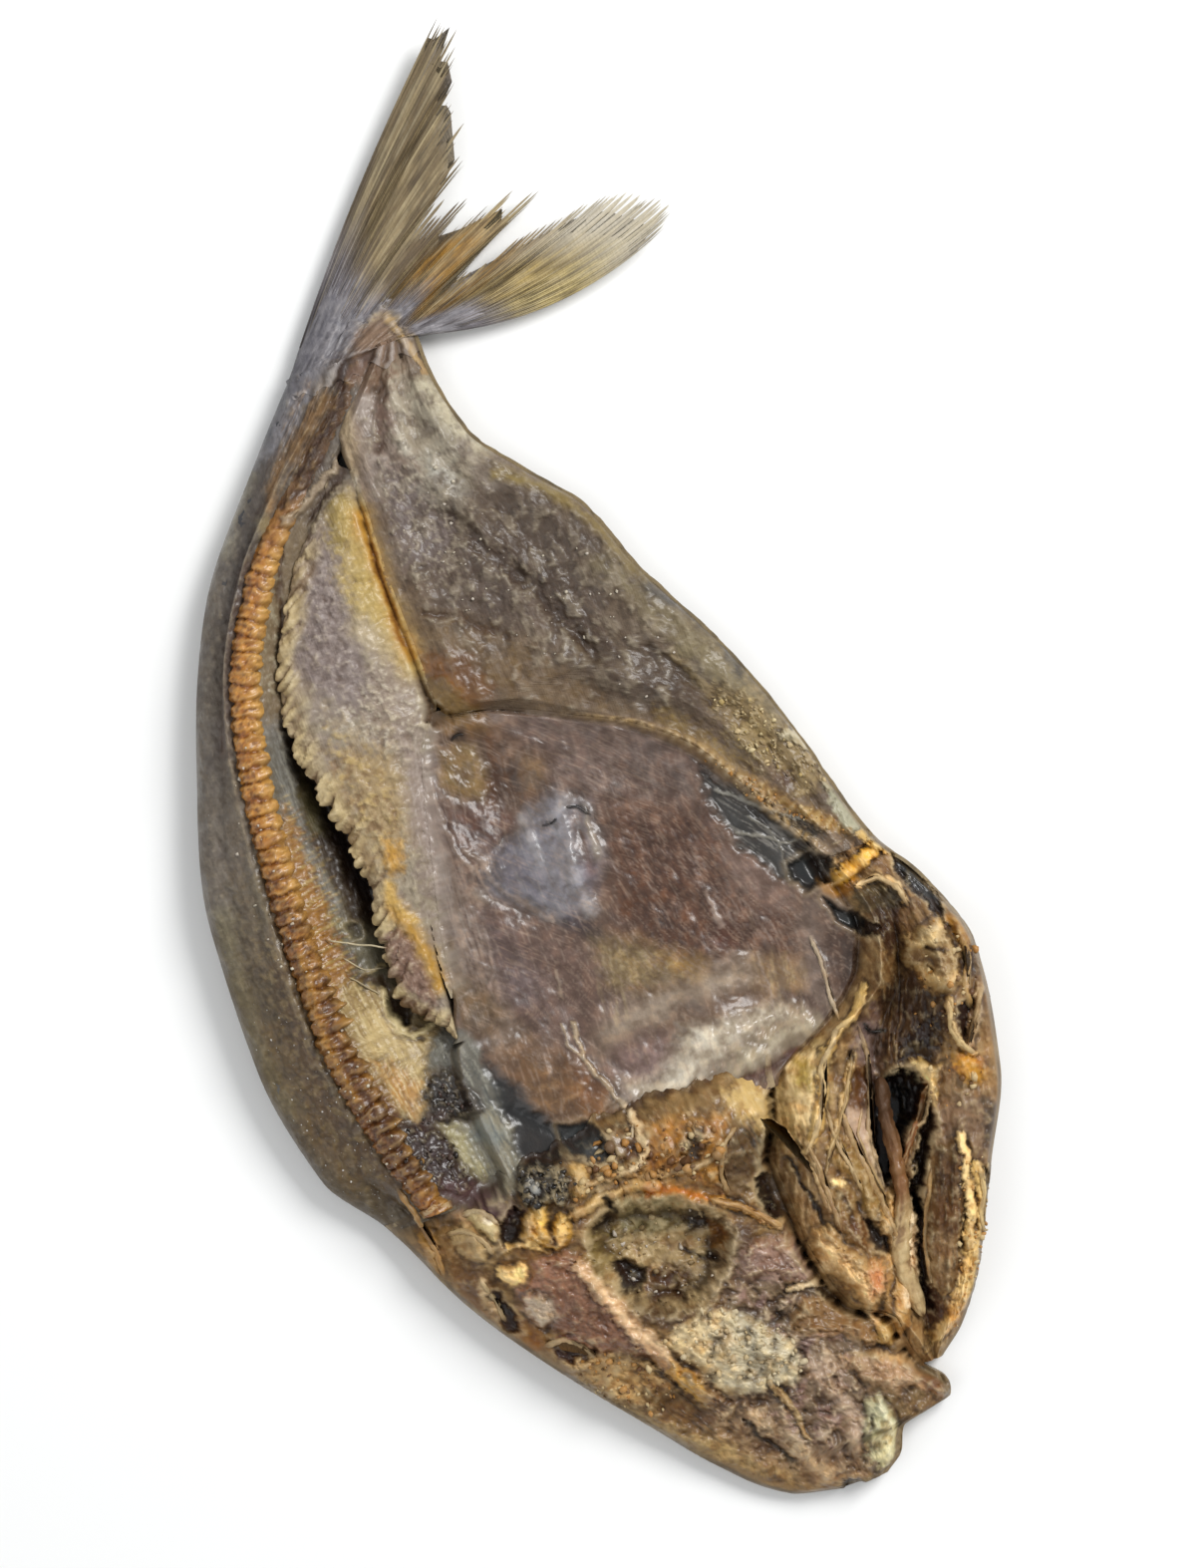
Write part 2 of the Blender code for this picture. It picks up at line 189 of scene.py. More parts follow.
def rough(x, y, size, seed, octaves=4, keep=0.55):
    """Noise with finer and finer layers on it."""
    total, part = 0.0, 1.0
    for n in range(octaves):
        total = total + part * noise(x, y, size / 2 ** n, seed + 17 * n)
        part *= keep
    return total


def wrinkle(x, y, size, seed):
    """Sharp crests with round valleys, 0 to 1."""
    total = 0.0
    for n, part in enumerate((1.0, 0.5, 0.25)):
        total = total + part * (1 - np.minimum(1, 2.2 * np.abs(noise(x, y, size / 2 ** n, seed + 31 * n))))
    return total / 1.75


def cells(x, y, size, seed):
    """Distance to the nearest of scattered points, 0 to about 1, and that point's own random value."""
    rng = np.random.default_rng(seed)
    jx, jy, own = (rng.random((REPEAT, REPEAT)) for _ in range(3))
    gx, gy = np.asarray(x) / size, np.asarray(y) / size
    i, j = np.floor(gx).astype(int), np.floor(gy).astype(int)
    best, value = np.full(gx.shape, 9.0), np.zeros(gx.shape)
    for a in (-1, 0, 1):
        for b in (-1, 0, 1):
            m, n = (i + a) % REPEAT, (j + b) % REPEAT
            far = np.hypot(i + a + jx[m, n] - gx, j + b + jy[m, n] - gy)
            value = np.where(far < best, own[m, n], value)
            best = np.minimum(best, far)
    return best, value


def paint(red, green, blue):
    """A colour as mixed on the palette, 0 to 255, in the renderer's linear values."""
    values = np.array(PIGMENT) * (red, green, blue) / 255.0
    return np.where(values > 0.04045, ((values + 0.055) / 1.055) ** 2.4, values / 12.92)


left = curve((-142, -31), (-126, -46), (-89, -77), (-47, -96), (2, -110), (45, -112), (82, -106),
             (102, -93), (132, -79), (158, -62), (184, -42), (203, -27), (219, -9), (223, 6))
right = curve((-142, 10), (-134, 10), (-111, 14), (-95, 25), (-77, 39), (-55, 47), (-39, 55),
              (-20, 64), (10, 74), (27, 78), (44, 83), (61, 93), (85, 100), (122, 94), (148, 81),
              (175, 67), (190, 56), (197, 47))
rim_z = curve((-142, 11), (-90, 14), (0, 15.5), (60, 14), (101, 11))
TAIL_X, HEAD_X = -141.5, 101.0


def soften(field, times):
    """Evens out a line of values, or each row of a grid, between its ends."""
    for _ in range(times):
        field[..., 1:-1] = (field[..., :-2] + 2 * field[..., 1:-1] + field[..., 2:]) / 4


def places(pairs):
    """Points of the plan from words such as 12,34."""
    return [tuple(map(float, pair.split(","))) for pair in pairs]


def ground_cell(x, y):
    """Where on the grid of the laid surfaces a place in mm lies."""
    return (x + GROUND_CORNER[0]) / GROUND_STEP, (y + GROUND_CORNER[1]) / GROUND_STEP


def note(mesh, label, kind, values):
    """Gives each point of a mesh a value that its material can read."""
    key = {"FLOAT": "value", "FLOAT_COLOR": "color", "FLOAT_VECTOR": "vector"}[kind]
    mesh.attributes.new(label, kind, "POINT").data.foreach_set(key, np.ravel(values))


def sweep(first, last, step, section, columns, soft):
    """Rows of a surface: the section's (y, z) points at each x, spread evenly along their line."""
    rows = int((last - first) / step) + 1
    xs = np.linspace(first, last, rows)
    ys, zs = np.empty((rows, columns)), np.empty((rows, columns))
    for n, x in enumerate(xs):
        points = np.array(section(x), float)
        run = np.concatenate([[0], np.cumsum(np.hypot(*np.diff(points, axis=0).T) + 1e-6)])
        at = np.linspace(0, run[-1], columns)
        ys[n], zs[n] = np.interp(at, run, points[:, 0]), np.interp(at, run, points[:, 1])
    for field in (ys, zs):
        soften(field, soft)
    return np.repeat(xs[:, None], columns, 1), ys, zs


class Sheet:
    """An uneven surface held as arrays of place, colour, wetness and salt until it is made."""

    ground = np.full((*GROUND_SIZE, 4), np.nan)  # red, green, blue and height already laid
    cover = {"glaze": 0.5, "trace": 0.5, "mottle": 0.6, "threads": 0.65}  # of work's thinner colours

    def __init__(self, places, colour):
        self.grid = places[0].shape
        self.x, self.y, self.z = (np.array(p, float).ravel() for p in places)
        self.u = np.repeat(np.linspace(0, 1, self.grid[0]), self.grid[1])
        self.v = np.tile(np.linspace(0, 1, self.grid[1]), self.grid[0])
        self.plan()
        self.tint = np.tile(paint(*colour), (self.x.size, 1))
        self.bold = 1.0
        self.wet = 0.1 + 0.55 * smooth_step(-0.35, 0.45, rough(self.x, self.y, 15, 9, 3))
        self.salt = np.full(self.x.size, 0.1)
        self.flow = np.stack([self.x, self.y, self.z], 1)

    def plan(self):
        """Plan coordinates, and the same with a natural wander for the borders of patches."""
        a, b = self.x / UNIT, self.y / UNIT
        self.right = PLAN_CENTRE[0] + SIN * a + COS * b
        self.down = PLAN_CENTRE[1] + COS * a - SIN * b
        self.drift = [rough(self.x, self.y, 8, seed, 4, 0.6) for seed in (5, 6)]
        self.fray = [rough(self.x, self.y, 2.2, seed, 3, 0.7) for seed in (7, 8)]

    def reach(self, points, wander, closed=False):
        """Distance to a line in plan units, up to 70, and whether inside an outline."""
        px = self.right + wander * (self.drift[0] + 0.35 * self.fray[0])
        py = self.down + wander * (self.drift[1] + 0.35 * self.fray[1])
        (least_x, least_y), (most_x, most_y) = np.min(points, 0) - 70, np.max(points, 0) + 70
        near = np.flatnonzero((px > least_x) & (px < most_x) & (py > least_y) & (py < most_y))
        px, py = px[near], py[near]
        inside, best = np.zeros(px.size, bool), np.full(px.size, 1e6)
        ends = points[1:] + points[:1] if closed else points[1:]
        for (ax, ay), (bx, by) in zip(points, ends):
            dx, dy = bx - ax, by - ay
            t = np.clip(((px - ax) * dx + (py - ay) * dy) / (dx * dx + dy * dy), 0, 1)
            best = np.minimum(best, (px - ax - t * dx) ** 2 + (py - ay - t * dy) ** 2)
            if closed:
                inside ^= ((ay > py) != (by > py)) & (px < dx * (py - ay) / (dy if dy else 1e-9) + ax)
        far, within = np.full(self.x.size, 1e3), np.zeros(self.x.size, bool)
        far[near], within[near] = np.sqrt(best), inside
        return far, within

    def within(self, points, wander):
        """Distance inside an outline on the plan, negative outside it."""
        far, inside = self.reach(points, wander, True)
        return far * np.where(inside, 1, -1)

    def line(self, points, width, wander=4):
        """1 on a line of the plan, falling to 0 over the width in plan units."""
        return bell(self.reach(points, wander)[0], 0, width)

    def area(self, points, soft=6, wander=6):
        """1 inside an outline on the plan, 0 outside, with a soft and frayed border."""
        return smooth_step(-soft, soft, self.within(points, wander) + 0.55 * soft * self.fray[1])

    def rod(self, points, width, height, tint, contact=0.5, wet=None, fade=0.95):
        """A rounded bone or cord lying on the surface, with a broken line of painted shade where it touches
        and a painted highlight along its crest.
        """
        far, _ = self.reach(points, 2.0)
        w = width * np.clip(1 + 0.3 * self.drift[1] + 0.2 * self.fray[0], 0.4, 2)
        body = np.clip(1 - (far / w) ** 2, 0, 1) ** 0.7
        inside = smooth_step(1.1, 0.7, far / w)
        rim = bell(far - w, 0.8, 1.5) * contact * smooth_step(-0.5, 0.4, self.drift[0])
        self.z = self.z + height * body - 0.3 * height * rim
        self.colour(rim, *CONTACT_SHADE)
        self.colour(inside * fade, *tint, wet=wet)
        self.colour(smooth_step(0.7, 1.0, body) * inside * 0.25, *(min(255, 1.2 * c + 14) for c in tint))

    def slab(self, points, height, tint, soft, wet=None):
        """A raised plate with an outline on the plan and a broken line of painted shade round it."""
        far = self.within(points, 2.5)
        inside = smooth_step(-0.4 * soft, 0.6 * soft, far + 0.25 * soft * self.fray[0])
        rim = bell(far, -1.6, 1.6) * 0.5 * smooth_step(-0.5, 0.4, self.drift[0])
        form = height * smooth_step(-0.5, soft, far) * (1 + 0.2 * self.fray[1])
        self.z = self.z + form - 0.3 * abs(height) * rim
        self.colour(rim, *CONTACT_SHADE)
        self.colour(inside * 0.95, *tint, wet=wet)

    def hollow(self, points, depth, tint, soft, wet=0.5):
        """A pit with an outline on the plan, dark inside, its brim a little raised and painted pale as a
        highlight.
        """
        far = self.within(points, 2.5)
        brim = 0.3 * bell(far, -2.2, 2.0)
        self.z = self.z - depth * smooth_step(-1, soft, far) + brim
        self.colour(smooth_step(-2, 3, far) * 0.97, *tint, wet=wet)
        self.colour(brim * 0.6, 196, 172, 130)

    def work(self, rows):
        """Forms worked into the surface, a row each: kind, width or softness, rise in mm, colour with
        wetness, and the line or outline on the plan. Threads have their direction first."""
        for seed, row in enumerate(rows.strip().splitlines()):
            kind, size, rise, tint, *points = row.split()
            size, rise, points = float(size), float(rise) * self.bold, places(points)
            tint = [float(part) for part in tint.split(",")]
            how = {"wet": tint.pop()} if len(tint) > 3 else {}
            if kind == "bone":
                self.rod(points, size, rise, tint, **how)
            elif kind == "crumb":
                self.crumbs(self.area(points, 7, 4), size, rise, seed + 400, 0.6, 0.5)
            elif kind == "cord":
                self.rod(points, size, rise, tint, contact=0.25, fade=0.85, **how)
            elif kind == "plate":
                self.slab(points, rise, tint, size, **how)
            elif kind == "pit":
                self.hollow(points, rise, tint, size, **how)
            else:
                if kind in ("streak", "trace"):
                    mask = self.line(points, size, 2.5)
                elif kind == "threads":
                    hairs = self.streaks(points[:2], 0.8 * size, seed, 14)
                    mask = self.area(points[2:], 7, 4) * smooth_step(0.0, 0.7, hairs)
                elif kind == "mottle":
                    mask = self.area(points, 7, 4) * self.blotch(size, seed, 0.0, 0.6)
                else:
                    mask = self.area(points, size, 3)
                self.lift(mask, rise)
                self.colour(mask * Sheet.cover.get(kind, 0.93), *tint, **how)

    def streaks(self, points, size, seed, long):
        """Noise drawn out along a line of the plan, as fibres are."""
        best, along, side, run = np.full(self.x.size, 1e9), 0.0, 0.0, 0.0
        for (ax, ay), (bx, by) in zip(points, points[1:]):
            dx, dy = bx - ax, by - ay
            span = math.hypot(dx, dy)
            t = ((self.right - ax) * dx + (self.down - ay) * dy) / span ** 2
            near = np.clip(t, 0, 1)
            far = (self.right - ax - near * dx) ** 2 + (self.down - ay - near * dy) ** 2
            new = far < best
            best = np.where(new, far, best)
            along = np.where(new, run + t * span, along)
            side = np.where(new, ((self.right - ax) * dy - (self.down - ay) * dx) / span, side)
            run += span
        side = side * UNIT + 0.5 * noise(self.x, self.y, 6, seed + 3)
        return rough(along * UNIT / long, side, size, seed, 3, 0.6)

    def blotch(self, size, seed, low=-0.1, high=0.5):
        return smooth_step(low, high, rough(self.x, self.y, size, seed, 4, 0.6))

    def crumbs(self, mask, size, height, seed, light, dark):
        """Crumbly lumps: painted pale on top as a highlight, and dark in the cracks between them as painted
        shade.
        """
        c, s = math.cos(0.6), math.sin(0.6)
        far, own = cells(self.x * c + self.y * s + 0.8 * self.drift[0],
                         self.y * c - self.x * s + 0.8 * self.drift[1], size, seed)
        self.z = self.z + mask * height * (np.sqrt(np.clip(1 - far * far, 0, 1)) * (0.5 + own) - 0.6)
        self.colour(mask * dark * smooth_step(0.55, 0.85, far), 70, 48, 30)
        self.colour(mask * light * smooth_step(0.5, 0.1, far) * own, 218, 198, 154)

    def grit_and_shade(self, mask, size, height, amount, seed):
        """Fine dried grain, painted paler and cooler where it stands up and darker and warmer where it is
        sunk, as its light and shade.
        """
        grain = np.clip(rough(self.x, self.y, size, seed, 3, 0.7), -1, 1) * mask
        self.z = self.z + height * grain
        self.tint = self.tint * (1 + amount * grain[:, None] * np.array([0.85, 1.0, 1.15]))

    def shreds(self, mask, size, height, lean, seed, amount):
        """A tangle of dried sinews: pale crests with amber and brown between them, painted as light on the
        crests and shade between.
        """
        c, s = math.cos(lean), math.sin(lean)
        along = self.x * c + self.y * s + 1.5 * self.drift[0]
        across = self.y * c - self.x * s + 1.5 * self.drift[1]
        form = wrinkle(along / 2.2, across, size, seed)
        self.z = self.z + mask * height * (form - 0.45)
        self.colour(mask * amount * smooth_step(0.4, 0.1, form), 98, 62, 32)
        self.colour(mask * amount * smooth_step(0.6, 0.9, form), 218, 194, 148)

    def deepen(self, mask, amount, richness=1.2):
        """Stronger lights, darks and colours."""
        light = self.tint.mean(1)[:, None]
        rich = np.maximum(light + richness * (self.tint - light), 0.003) * (light / 0.17) ** amount
        self.tint = self.tint + (rich - self.tint) * mask[:, None]

    def tone(self, mask, *times):
        """The colour multiplied, where the mask is 1."""
        self.tint = self.tint * (1 + np.reshape(mask, (-1, 1)) * (np.array(times) - 1))

    def colour(self, mask, red, green, blue, wet=None):
        mask = np.clip(mask, 0, 1)
        self.tint = self.tint * (1 - mask[:, None]) + paint(red, green, blue) * mask[:, None]
        if wet is not None:
            self.wet = self.wet * (1 - mask) + wet * mask

    def lift(self, mask, height):
        self.z = self.z + mask * height

    def hills(self, hills, times, mask=1.0):
        """Round rises and hollows: x, y, radius and height in mm."""
        for x, y, radius, height in hills:
            self.lift(np.exp(-((self.x - x) ** 2 + (self.y - y) ** 2) / radius ** 2) * mask, times * height)

    def lay(self):
        """Notes the height and colour of this surface, for the ones that grow together with it."""
        i, j = (place.astype(int) for place in ground_cell(self.x, self.y))
        rising = np.argsort(self.z)
        rising = rising[self.z[rising] > np.nan_to_num(Sheet.ground[i[rising], j[rising], 3], nan=-9)]
        Sheet.ground[i[rising], j[rising], :3] = self.tint[rising]
        Sheet.ground[i[rising], j[rising], 3] = self.z[rising]

    def meet(self, weight, drop=0.15):
        """Blends into the surfaces already laid, where the weight is near 1."""
        field = Sheet.ground.copy()
        for _ in range(12):
            known = ~np.isnan(field[..., 3])
            wide, count = np.zeros_like(field), np.zeros(known.shape)
            for axis, way in ((0, 1), (0, -1), (1, 1), (1, -1)):
                wide += np.nan_to_num(np.roll(field, way, axis))
                count += np.roll(known, way, axis)
            fill = ~known & (count > 0)
            field[fill] = wide[fill] / count[fill][:, None]
        gx, gy = (place - 0.5 for place in ground_cell(self.x, self.y))
        i, j = np.floor(gx).astype(int), np.floor(gy).astype(int)
        fx, fy = (gx - i)[:, None], (gy - j)[:, None]
        near = ((field[i, j] * (1 - fx) + field[i + 1, j] * fx) * (1 - fy)
                + (field[i, j + 1] * (1 - fx) + field[i + 1, j + 1] * fx) * fy)
        weight = np.where(np.isnan(near[:, 3]), 0, weight)
        near = np.nan_to_num(near)
        self.z = self.z * (1 - weight) + (near[:, 3] - drop) * weight
        self.tint = self.tint * (1 - 0.9 * weight[:, None]) + near[:, :3] * 0.9 * weight[:, None]

    def border(self, low=None, high=None, first=None):
        """1 at the named borders of the surface, falling to 0 over the given mm."""
        ys, xs = self.y.reshape(self.grid), self.x.reshape(self.grid)
        weight = np.zeros(self.grid)
        for width, gap in ((low, np.abs(ys - ys[:, :1])), (high, np.abs(ys - ys[:, -1:])),
                           (first, np.abs(xs - xs[:1]))):
            if width:
                weight = np.maximum(weight, smooth_step(1, 0, np.maximum(gap - 1.2, 0) / width))
        return weight.ravel()

    def relief(self, times):
        """How far each point stands above its surroundings, mm."""
        field = self.z.reshape(self.grid)
        soft = field
        for _ in range(times):
            wide = np.pad(soft, 1, mode="edge")
            soft = (wide[:-2, 1:-1] + wide[2:, 1:-1] + wide[1:-1, :-2] + wide[1:-1, 2:]) / 4
        return (field - soft).ravel()

    def relief_shading(self, times, depth, dark, light, low=(66, 44, 28), high=(208, 194, 164)):
        """Painted shade in the hollows and painted light on the crests, from how far each point stands above
        its surroundings.
        """
        form = self.relief(times) / depth
        self.colour(dark * smooth_step(0.1, 1.4, -form), *low)
        self.colour(light * smooth_step(0.15, 1.5, form), *high)

    def sides(self, inward):
        """The outer walls, seen only from the side: brown skin with blotches that run along the fish."""
        wall = smooth_step(2.6, 0.9, inward)
        along = rough(0.4 * (self.x + self.y), 2.2 * self.z, 5, 160, 4)
        self.colour(wall * 0.95, 124, 106, 78)
        self.colour(wall * smooth_step(0.0, 0.5, along) * 0.6, 92, 78, 62)
        self.colour(wall * smooth_step(0.0, -0.5, along) * 0.6, 156, 138, 106)
        self.colour(wall * smooth_step(6, 2, self.z) * 0.6, 106, 100, 92)

    def shape(self, name, base=None, thick=None, tube=False, flip=False):
        """A grid primitive set to the arrays, then closed: down to a base, by a thickness, or as a tube."""
        rows, columns = self.grid
        bpy.ops.mesh.primitive_grid_add(x_subdivisions=rows - 1, y_subdivisions=columns - 1, size=1)
        piece = bpy.context.object
        piece.name = piece.data.name = name
        mesh = piece.data
        flat = np.empty(3 * len(mesh.vertices))
        mesh.vertices.foreach_get("co", flat)
        flat = flat.reshape(-1, 3) + 0.5
        if base is not None:
            self.z = np.maximum(self.z, base + 0.3)
        order = (np.rint(flat[:, 0] * (rows - 1)) * columns + np.rint(flat[:, 1] * (columns - 1))).astype(int)
        place = np.stack([self.x - ORIGIN[0], self.y - ORIGIN[1], self.z], 1)[order] * MM
        mesh.vertices.foreach_set("co", place.ravel())
        tint = np.concatenate([np.clip(self.tint, 0.002, 0.9), np.ones((self.x.size, 1))], 1)[order]
        note(mesh, "Tint", "FLOAT_COLOR", tint)
        note(mesh, "Wet", "FLOAT", np.clip(self.wet, 0, 1)[order])
        note(mesh, "Salt", "FLOAT", np.clip(self.salt, 0, 1)[order])
        note(mesh, "Flow", "FLOAT_VECTOR", self.flow[order])
        mesh.update()
        bpy.ops.object.mode_set(mode="EDIT")
        bpy.ops.mesh.select_all(action="SELECT")
        if flip:
            bpy.ops.mesh.flip_normals()
        if tube:
            bpy.ops.mesh.remove_doubles(threshold=0.000002)
        if base is not None:
            bpy.ops.mesh.select_mode(type="EDGE")
            bpy.ops.mesh.select_all(action="DESELECT")
            bpy.ops.mesh.select_non_manifold()
            bpy.ops.mesh.extrude_edges_move(TRANSFORM_OT_translate={"value": (0, 0, -0.0002)})
            bpy.ops.transform.resize(value=(1, 1, 0), center_override=(0, 0, base * MM))
        if tube or base is not None:
            bpy.ops.mesh.select_all(action="SELECT")
            bpy.ops.mesh.fill_holes(sides=0)
            bpy.ops.mesh.select_all(action="SELECT")
            bpy.ops.mesh.normals_make_consistent(inside=False)
        bpy.ops.object.mode_set(mode="OBJECT")
        if thick:
            solid = piece.modifiers.new("thickness", "SOLIDIFY")
            solid.thickness = thick * MM
            solid.offset = -1
            bpy.ops.object.modifier_apply(modifier=solid.name)
        return piece

    def make(self, name, finish, slot, nodes, **closing):
        return dress(self.shape(name, **closing), finish, nodes)


def dress(piece, finish, nodes=()):
    """Smooth shading, material, and the piece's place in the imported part."""
    bpy.ops.object.select_all(action="DESELECT")
    piece.select_set(True)
    bpy.context.view_layer.objects.active = piece
    bpy.ops.object.shade_smooth_by_angle(angle=math.radians(70))
    piece.data.materials.clear()
    piece.data.materials.append(finish)
    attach(piece, "root")
    if nodes:
        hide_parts(*nodes)
    piece.select_set(False)
    return piece


def joined(pieces, name):
    """Several shapes made one piece."""
    bpy.ops.object.select_all(action="DESELECT")
    for piece in pieces:
        piece.select_set(True)
    bpy.context.view_layer.objects.active = pieces[0]
    bpy.ops.object.join()
    pieces[0].name = pieces[0].data.name = name
    return pieces[0]


class Wire:
    """A shader socket that can be used in sums."""

    def __init__(self, finish, socket):
        self.finish, self.socket = finish, socket

    def sum(self, kind, a, b):
        return self.finish.node("ShaderNodeMath", {"operation": kind}, {0: a, 1: b})

    def __add__(self, other):
        return self.sum("ADD", self, other)

    def __sub__(self, other):
        return self.sum("SUBTRACT", self, other)

    def __rsub__(self, other):
        return self.sum("SUBTRACT", other, self)

    def __mul__(self, other):
        return self.sum("MULTIPLY", self, other)

    def __gt__(self, other):
        return self.sum("GREATER_THAN", self, other)

    __radd__ = __add__
    __rmul__ = __mul__


class Finish:
    """A material and the nodes that make it."""

    def __init__(self, name, **constants):
        self.material = bpy.data.materials.new(name)
        self.material.use_nodes = True
        self.tree = self.material.node_tree
        self.shader = self.tree.nodes["Principled BSDF"]
        for socket, value in constants.items():
            self.shader.inputs[socket.replace("_", " ")].default_value = value

    def node(self, kind, settings=None, values=None, out=0):
        made = self.tree.nodes.new(kind)
        for key, value in (settings or {}).items():
            setattr(made, key, value)
        for key, value in (values or {}).items():
            if isinstance(value, Wire):
                self.tree.links.new(value.socket, made.inputs[key])
            else:
                made.inputs[key].default_value = value
        return Wire(self, made.outputs[out])

    def attribute(self, name, out):
        return self.node("ShaderNodeAttribute", {"attribute_name": name}, out=out)

    def step(self, value, low, high):
        return self.node("ShaderNodeMapRange", {"interpolation_type": "SMOOTHSTEP"},
                         {"Value": value, "From Min": low, "From Max": high})

    def blend(self, factor, a, b):
        return self.node("ShaderNodeMix", {"data_type": "RGBA"}, {0: factor, 6: a, 7: b}, out=2)

    def grain(self, place, scale, detail=3.0, roughness=0.6):
        return self.node("ShaderNodeTexNoise", None, {"Vector": place, "Scale": scale, "Detail": detail,
                                                      "Roughness": roughness}) - 0.5

    def feed(self, socket, wire):
        self.tree.links.new(wire.socket, self.shader.inputs[socket])


def flesh_finish(name, mottle, speckle, fibre, bump, gloss=1.0, fine=1500.0):
    """Dried flesh: painted tint with mottling, fibres along the flow, and grains of salt."""
    finish = Finish(name, IOR=1.42, Coat_Roughness=0.2, Specular_IOR_Level=0.45)
    place = finish.node("ShaderNodeTexCoord", out=3)
    tint = finish.attribute("Tint", 0)
    wet = finish.attribute("Wet", 2)
    salt = finish.attribute("Salt", 2)
    flow = finish.attribute("Flow", 1)
    strands = finish.node("ShaderNodeVectorMath", {"operation": "MULTIPLY"}, {0: flow, 1: (0.16, 1.7, 1.0)})
    patches = finish.grain(place, 260.0, 4.0)
    specks = finish.grain(place, fine, 3.0, 0.65)
    fibres = finish.grain(strands, 1.0, 3.0, 0.6)
    dry = 1.15 - 0.8 * wet
    light = 1.0 + mottle * patches + (speckle * specks + fibre * fibres) * dry
    toned = finish.node("ShaderNodeVectorMath", {"operation": "SCALE"}, {0: tint, "Scale": light})
    salt_cells = finish.node("ShaderNodeTexVoronoi", None, {"Vector": place, "Scale": 850.0})
    chance = finish.grain(place, 700.0, 2.0) + 0.5
    dot = finish.step(salt_cells, 0.34, 0.16) * (salt * 0.9 > chance)
    finish.feed("Base Color", finish.blend(dot * 0.75, toned, (0.72, 0.70, 0.66, 1)))
    finish.feed("Roughness", 0.66 - 0.34 * gloss * wet + 0.25 * specks)
    finish.feed("Coat Weight", wet * 0.45 * gloss)
    height = (0.45 * specks + 0.6 * fibres) * dry + 0.5 * patches + 0.3 * dot
    relief = {"Strength": bump, "Distance": 1.1 * MM, "Height": height}
    finish.feed("Normal", finish.node("ShaderNodeBump", None, relief))
    return finish.material


def arc(edge, side, wide, width, height, inset, angles):
    """Arc of a rolled edge: 0 degrees is its outermost point, -90 its lowest."""
    a = np.radians(angles)
    y = edge + side * wide * (width - (width - inset) * np.cos(a))
    return list(zip(y, height / 2 + (height / 2 - inset) * np.sin(a)))


def skin_section(x):
    kl, kr = stretch(left, x), stretch(right, x)
    over = arc(left(x), 1, kl, 6.5, rim_z(x) + 0.35, 0, np.linspace(78, -90, 18))
    up = arc(right(x), -1, kr, 6.0, 13, 0, np.linspace(-90, 12, 10))
    return over + up


skin = Sheet(sweep(TAIL_X - 1.5, HEAD_X + 1, 1.25, skin_section, 150, 2), (98, 96, 97))
folds = wrinkle(skin.x * 0.35, skin.y, 7, 3) * smooth_step(0.0, 2.5, skin.z)
under = smooth_step(4.0, 1.2, skin.z)
skin.z += 0.25 * rough(skin.x, skin.y + skin.z, 5, 8) * smooth_step(0.3, 3, skin.z)
skin.y += (0.55 * folds - 0.3) * np.where(skin.v < 0.5, 1, -1) * smooth_step(1.0, 4, skin.z)
skin.colour(under, 150, 152, 158)
skin.colour(under * (0.4 + 0.6 * rough(skin.x * 0.4, skin.y, 12, 9)), 84, 88, 98)
skin.colour(smooth_step(-60, -130, skin.x) * (1 - under), 52, 54, 62)
skin.colour((1 - under) * smooth_step(0.2, 0.9, folds) * 0.6, 72, 74, 78)
skin.colour(smooth_step(40, 90, skin.x) * (1 - under) * (skin.v < 0.5) * 0.8, 112, 104, 74, wet=0.6)
rim = (skin.v > 0.5) * smooth_step(2.5, 5, skin.z)
skin.colour(rim * 0.95, 150, 134, 102)
skin.colour(rim * smooth_step(0.0, 0.5, rough(skin.x, 2 * skin.z, 7, 4, 4)) * 0.6, 96, 86, 70)
skin_look = flesh_finish("dried_skin", mottle=0.7, speckle=0.5, fibre=0.35, bump=0.4, gloss=0.8)
skin.make("skin_shell", skin_look, "skin", ["skin"], thick=1.05, flip=True)


# ---------------------------------------------------------------- Left fillet
# The narrow half between the fish's left edge and its backbone, grey and glassy, yellower towards the
# head. Past the bone its inner wall falls into the slit that the boning knife left.
spine = curve((-142, -10), (-136, -14), (-110, -41), (-91, -58), (-62, -74), (-35, -81), (-3, -85),
              (42, -87), (75, -83), (101, -77))
slit_line = curve((-142, -3), (-120, -22), (-100, -47), (-57, -66), (-42, -68), (0, -62), (44, -66),
                  (60, -66), (101, -62))
seam = curve((-112, -22.5), (-74, -25), (-39, -25), (-26, -33), (-2, -40), (37, -49), (56, -51))
fillet_inner = curve((-142, -2.4), (-114, -25.5), (-110.5, -22.5), (-74, -25), (-42, -24.7), (-34, -21),
                     (-30, -8), (-21, 8), (-11, 26), (3, 41), (33, 57), (44, 65))
lining_left = curve((-33, -27), (-26, -32.4), (-2, -39.4), (37, -48.4), (56.6, -50.2), (60, -55.2),
                    (70, -57), (101, -55))
crest_z = curve((-142, 13), (-120, 17), (-90, 20), (-40, 22), (30, 22), (70, 20), (101, 17))
spine_z = curve((-142, 10), (-120, 14), (-90, 17.5), (-40, 20), (40, 20), (75, 19), (101, 16.5))
spine_r = curve((-142, 2.2), (-110, 3.2), (-70, 4.2), (60, 4.4), (101, 3.6))
slit_z = curve((-142, 9), (-112, 13.5), (-98, 14.5), (-62, 15.0), (-46, 13.0), (-28, 8), (48, 7.5),
               (64, 9.5), (101, 9))
SEAT = 0.75  # gap in mm between the bone and the flesh that holds it


def slit_at(x):
    return max(float(slit_line(x)), float(spine(x) + (spine_r(x) + SEAT + 1.8) * stretch(spine, x)))


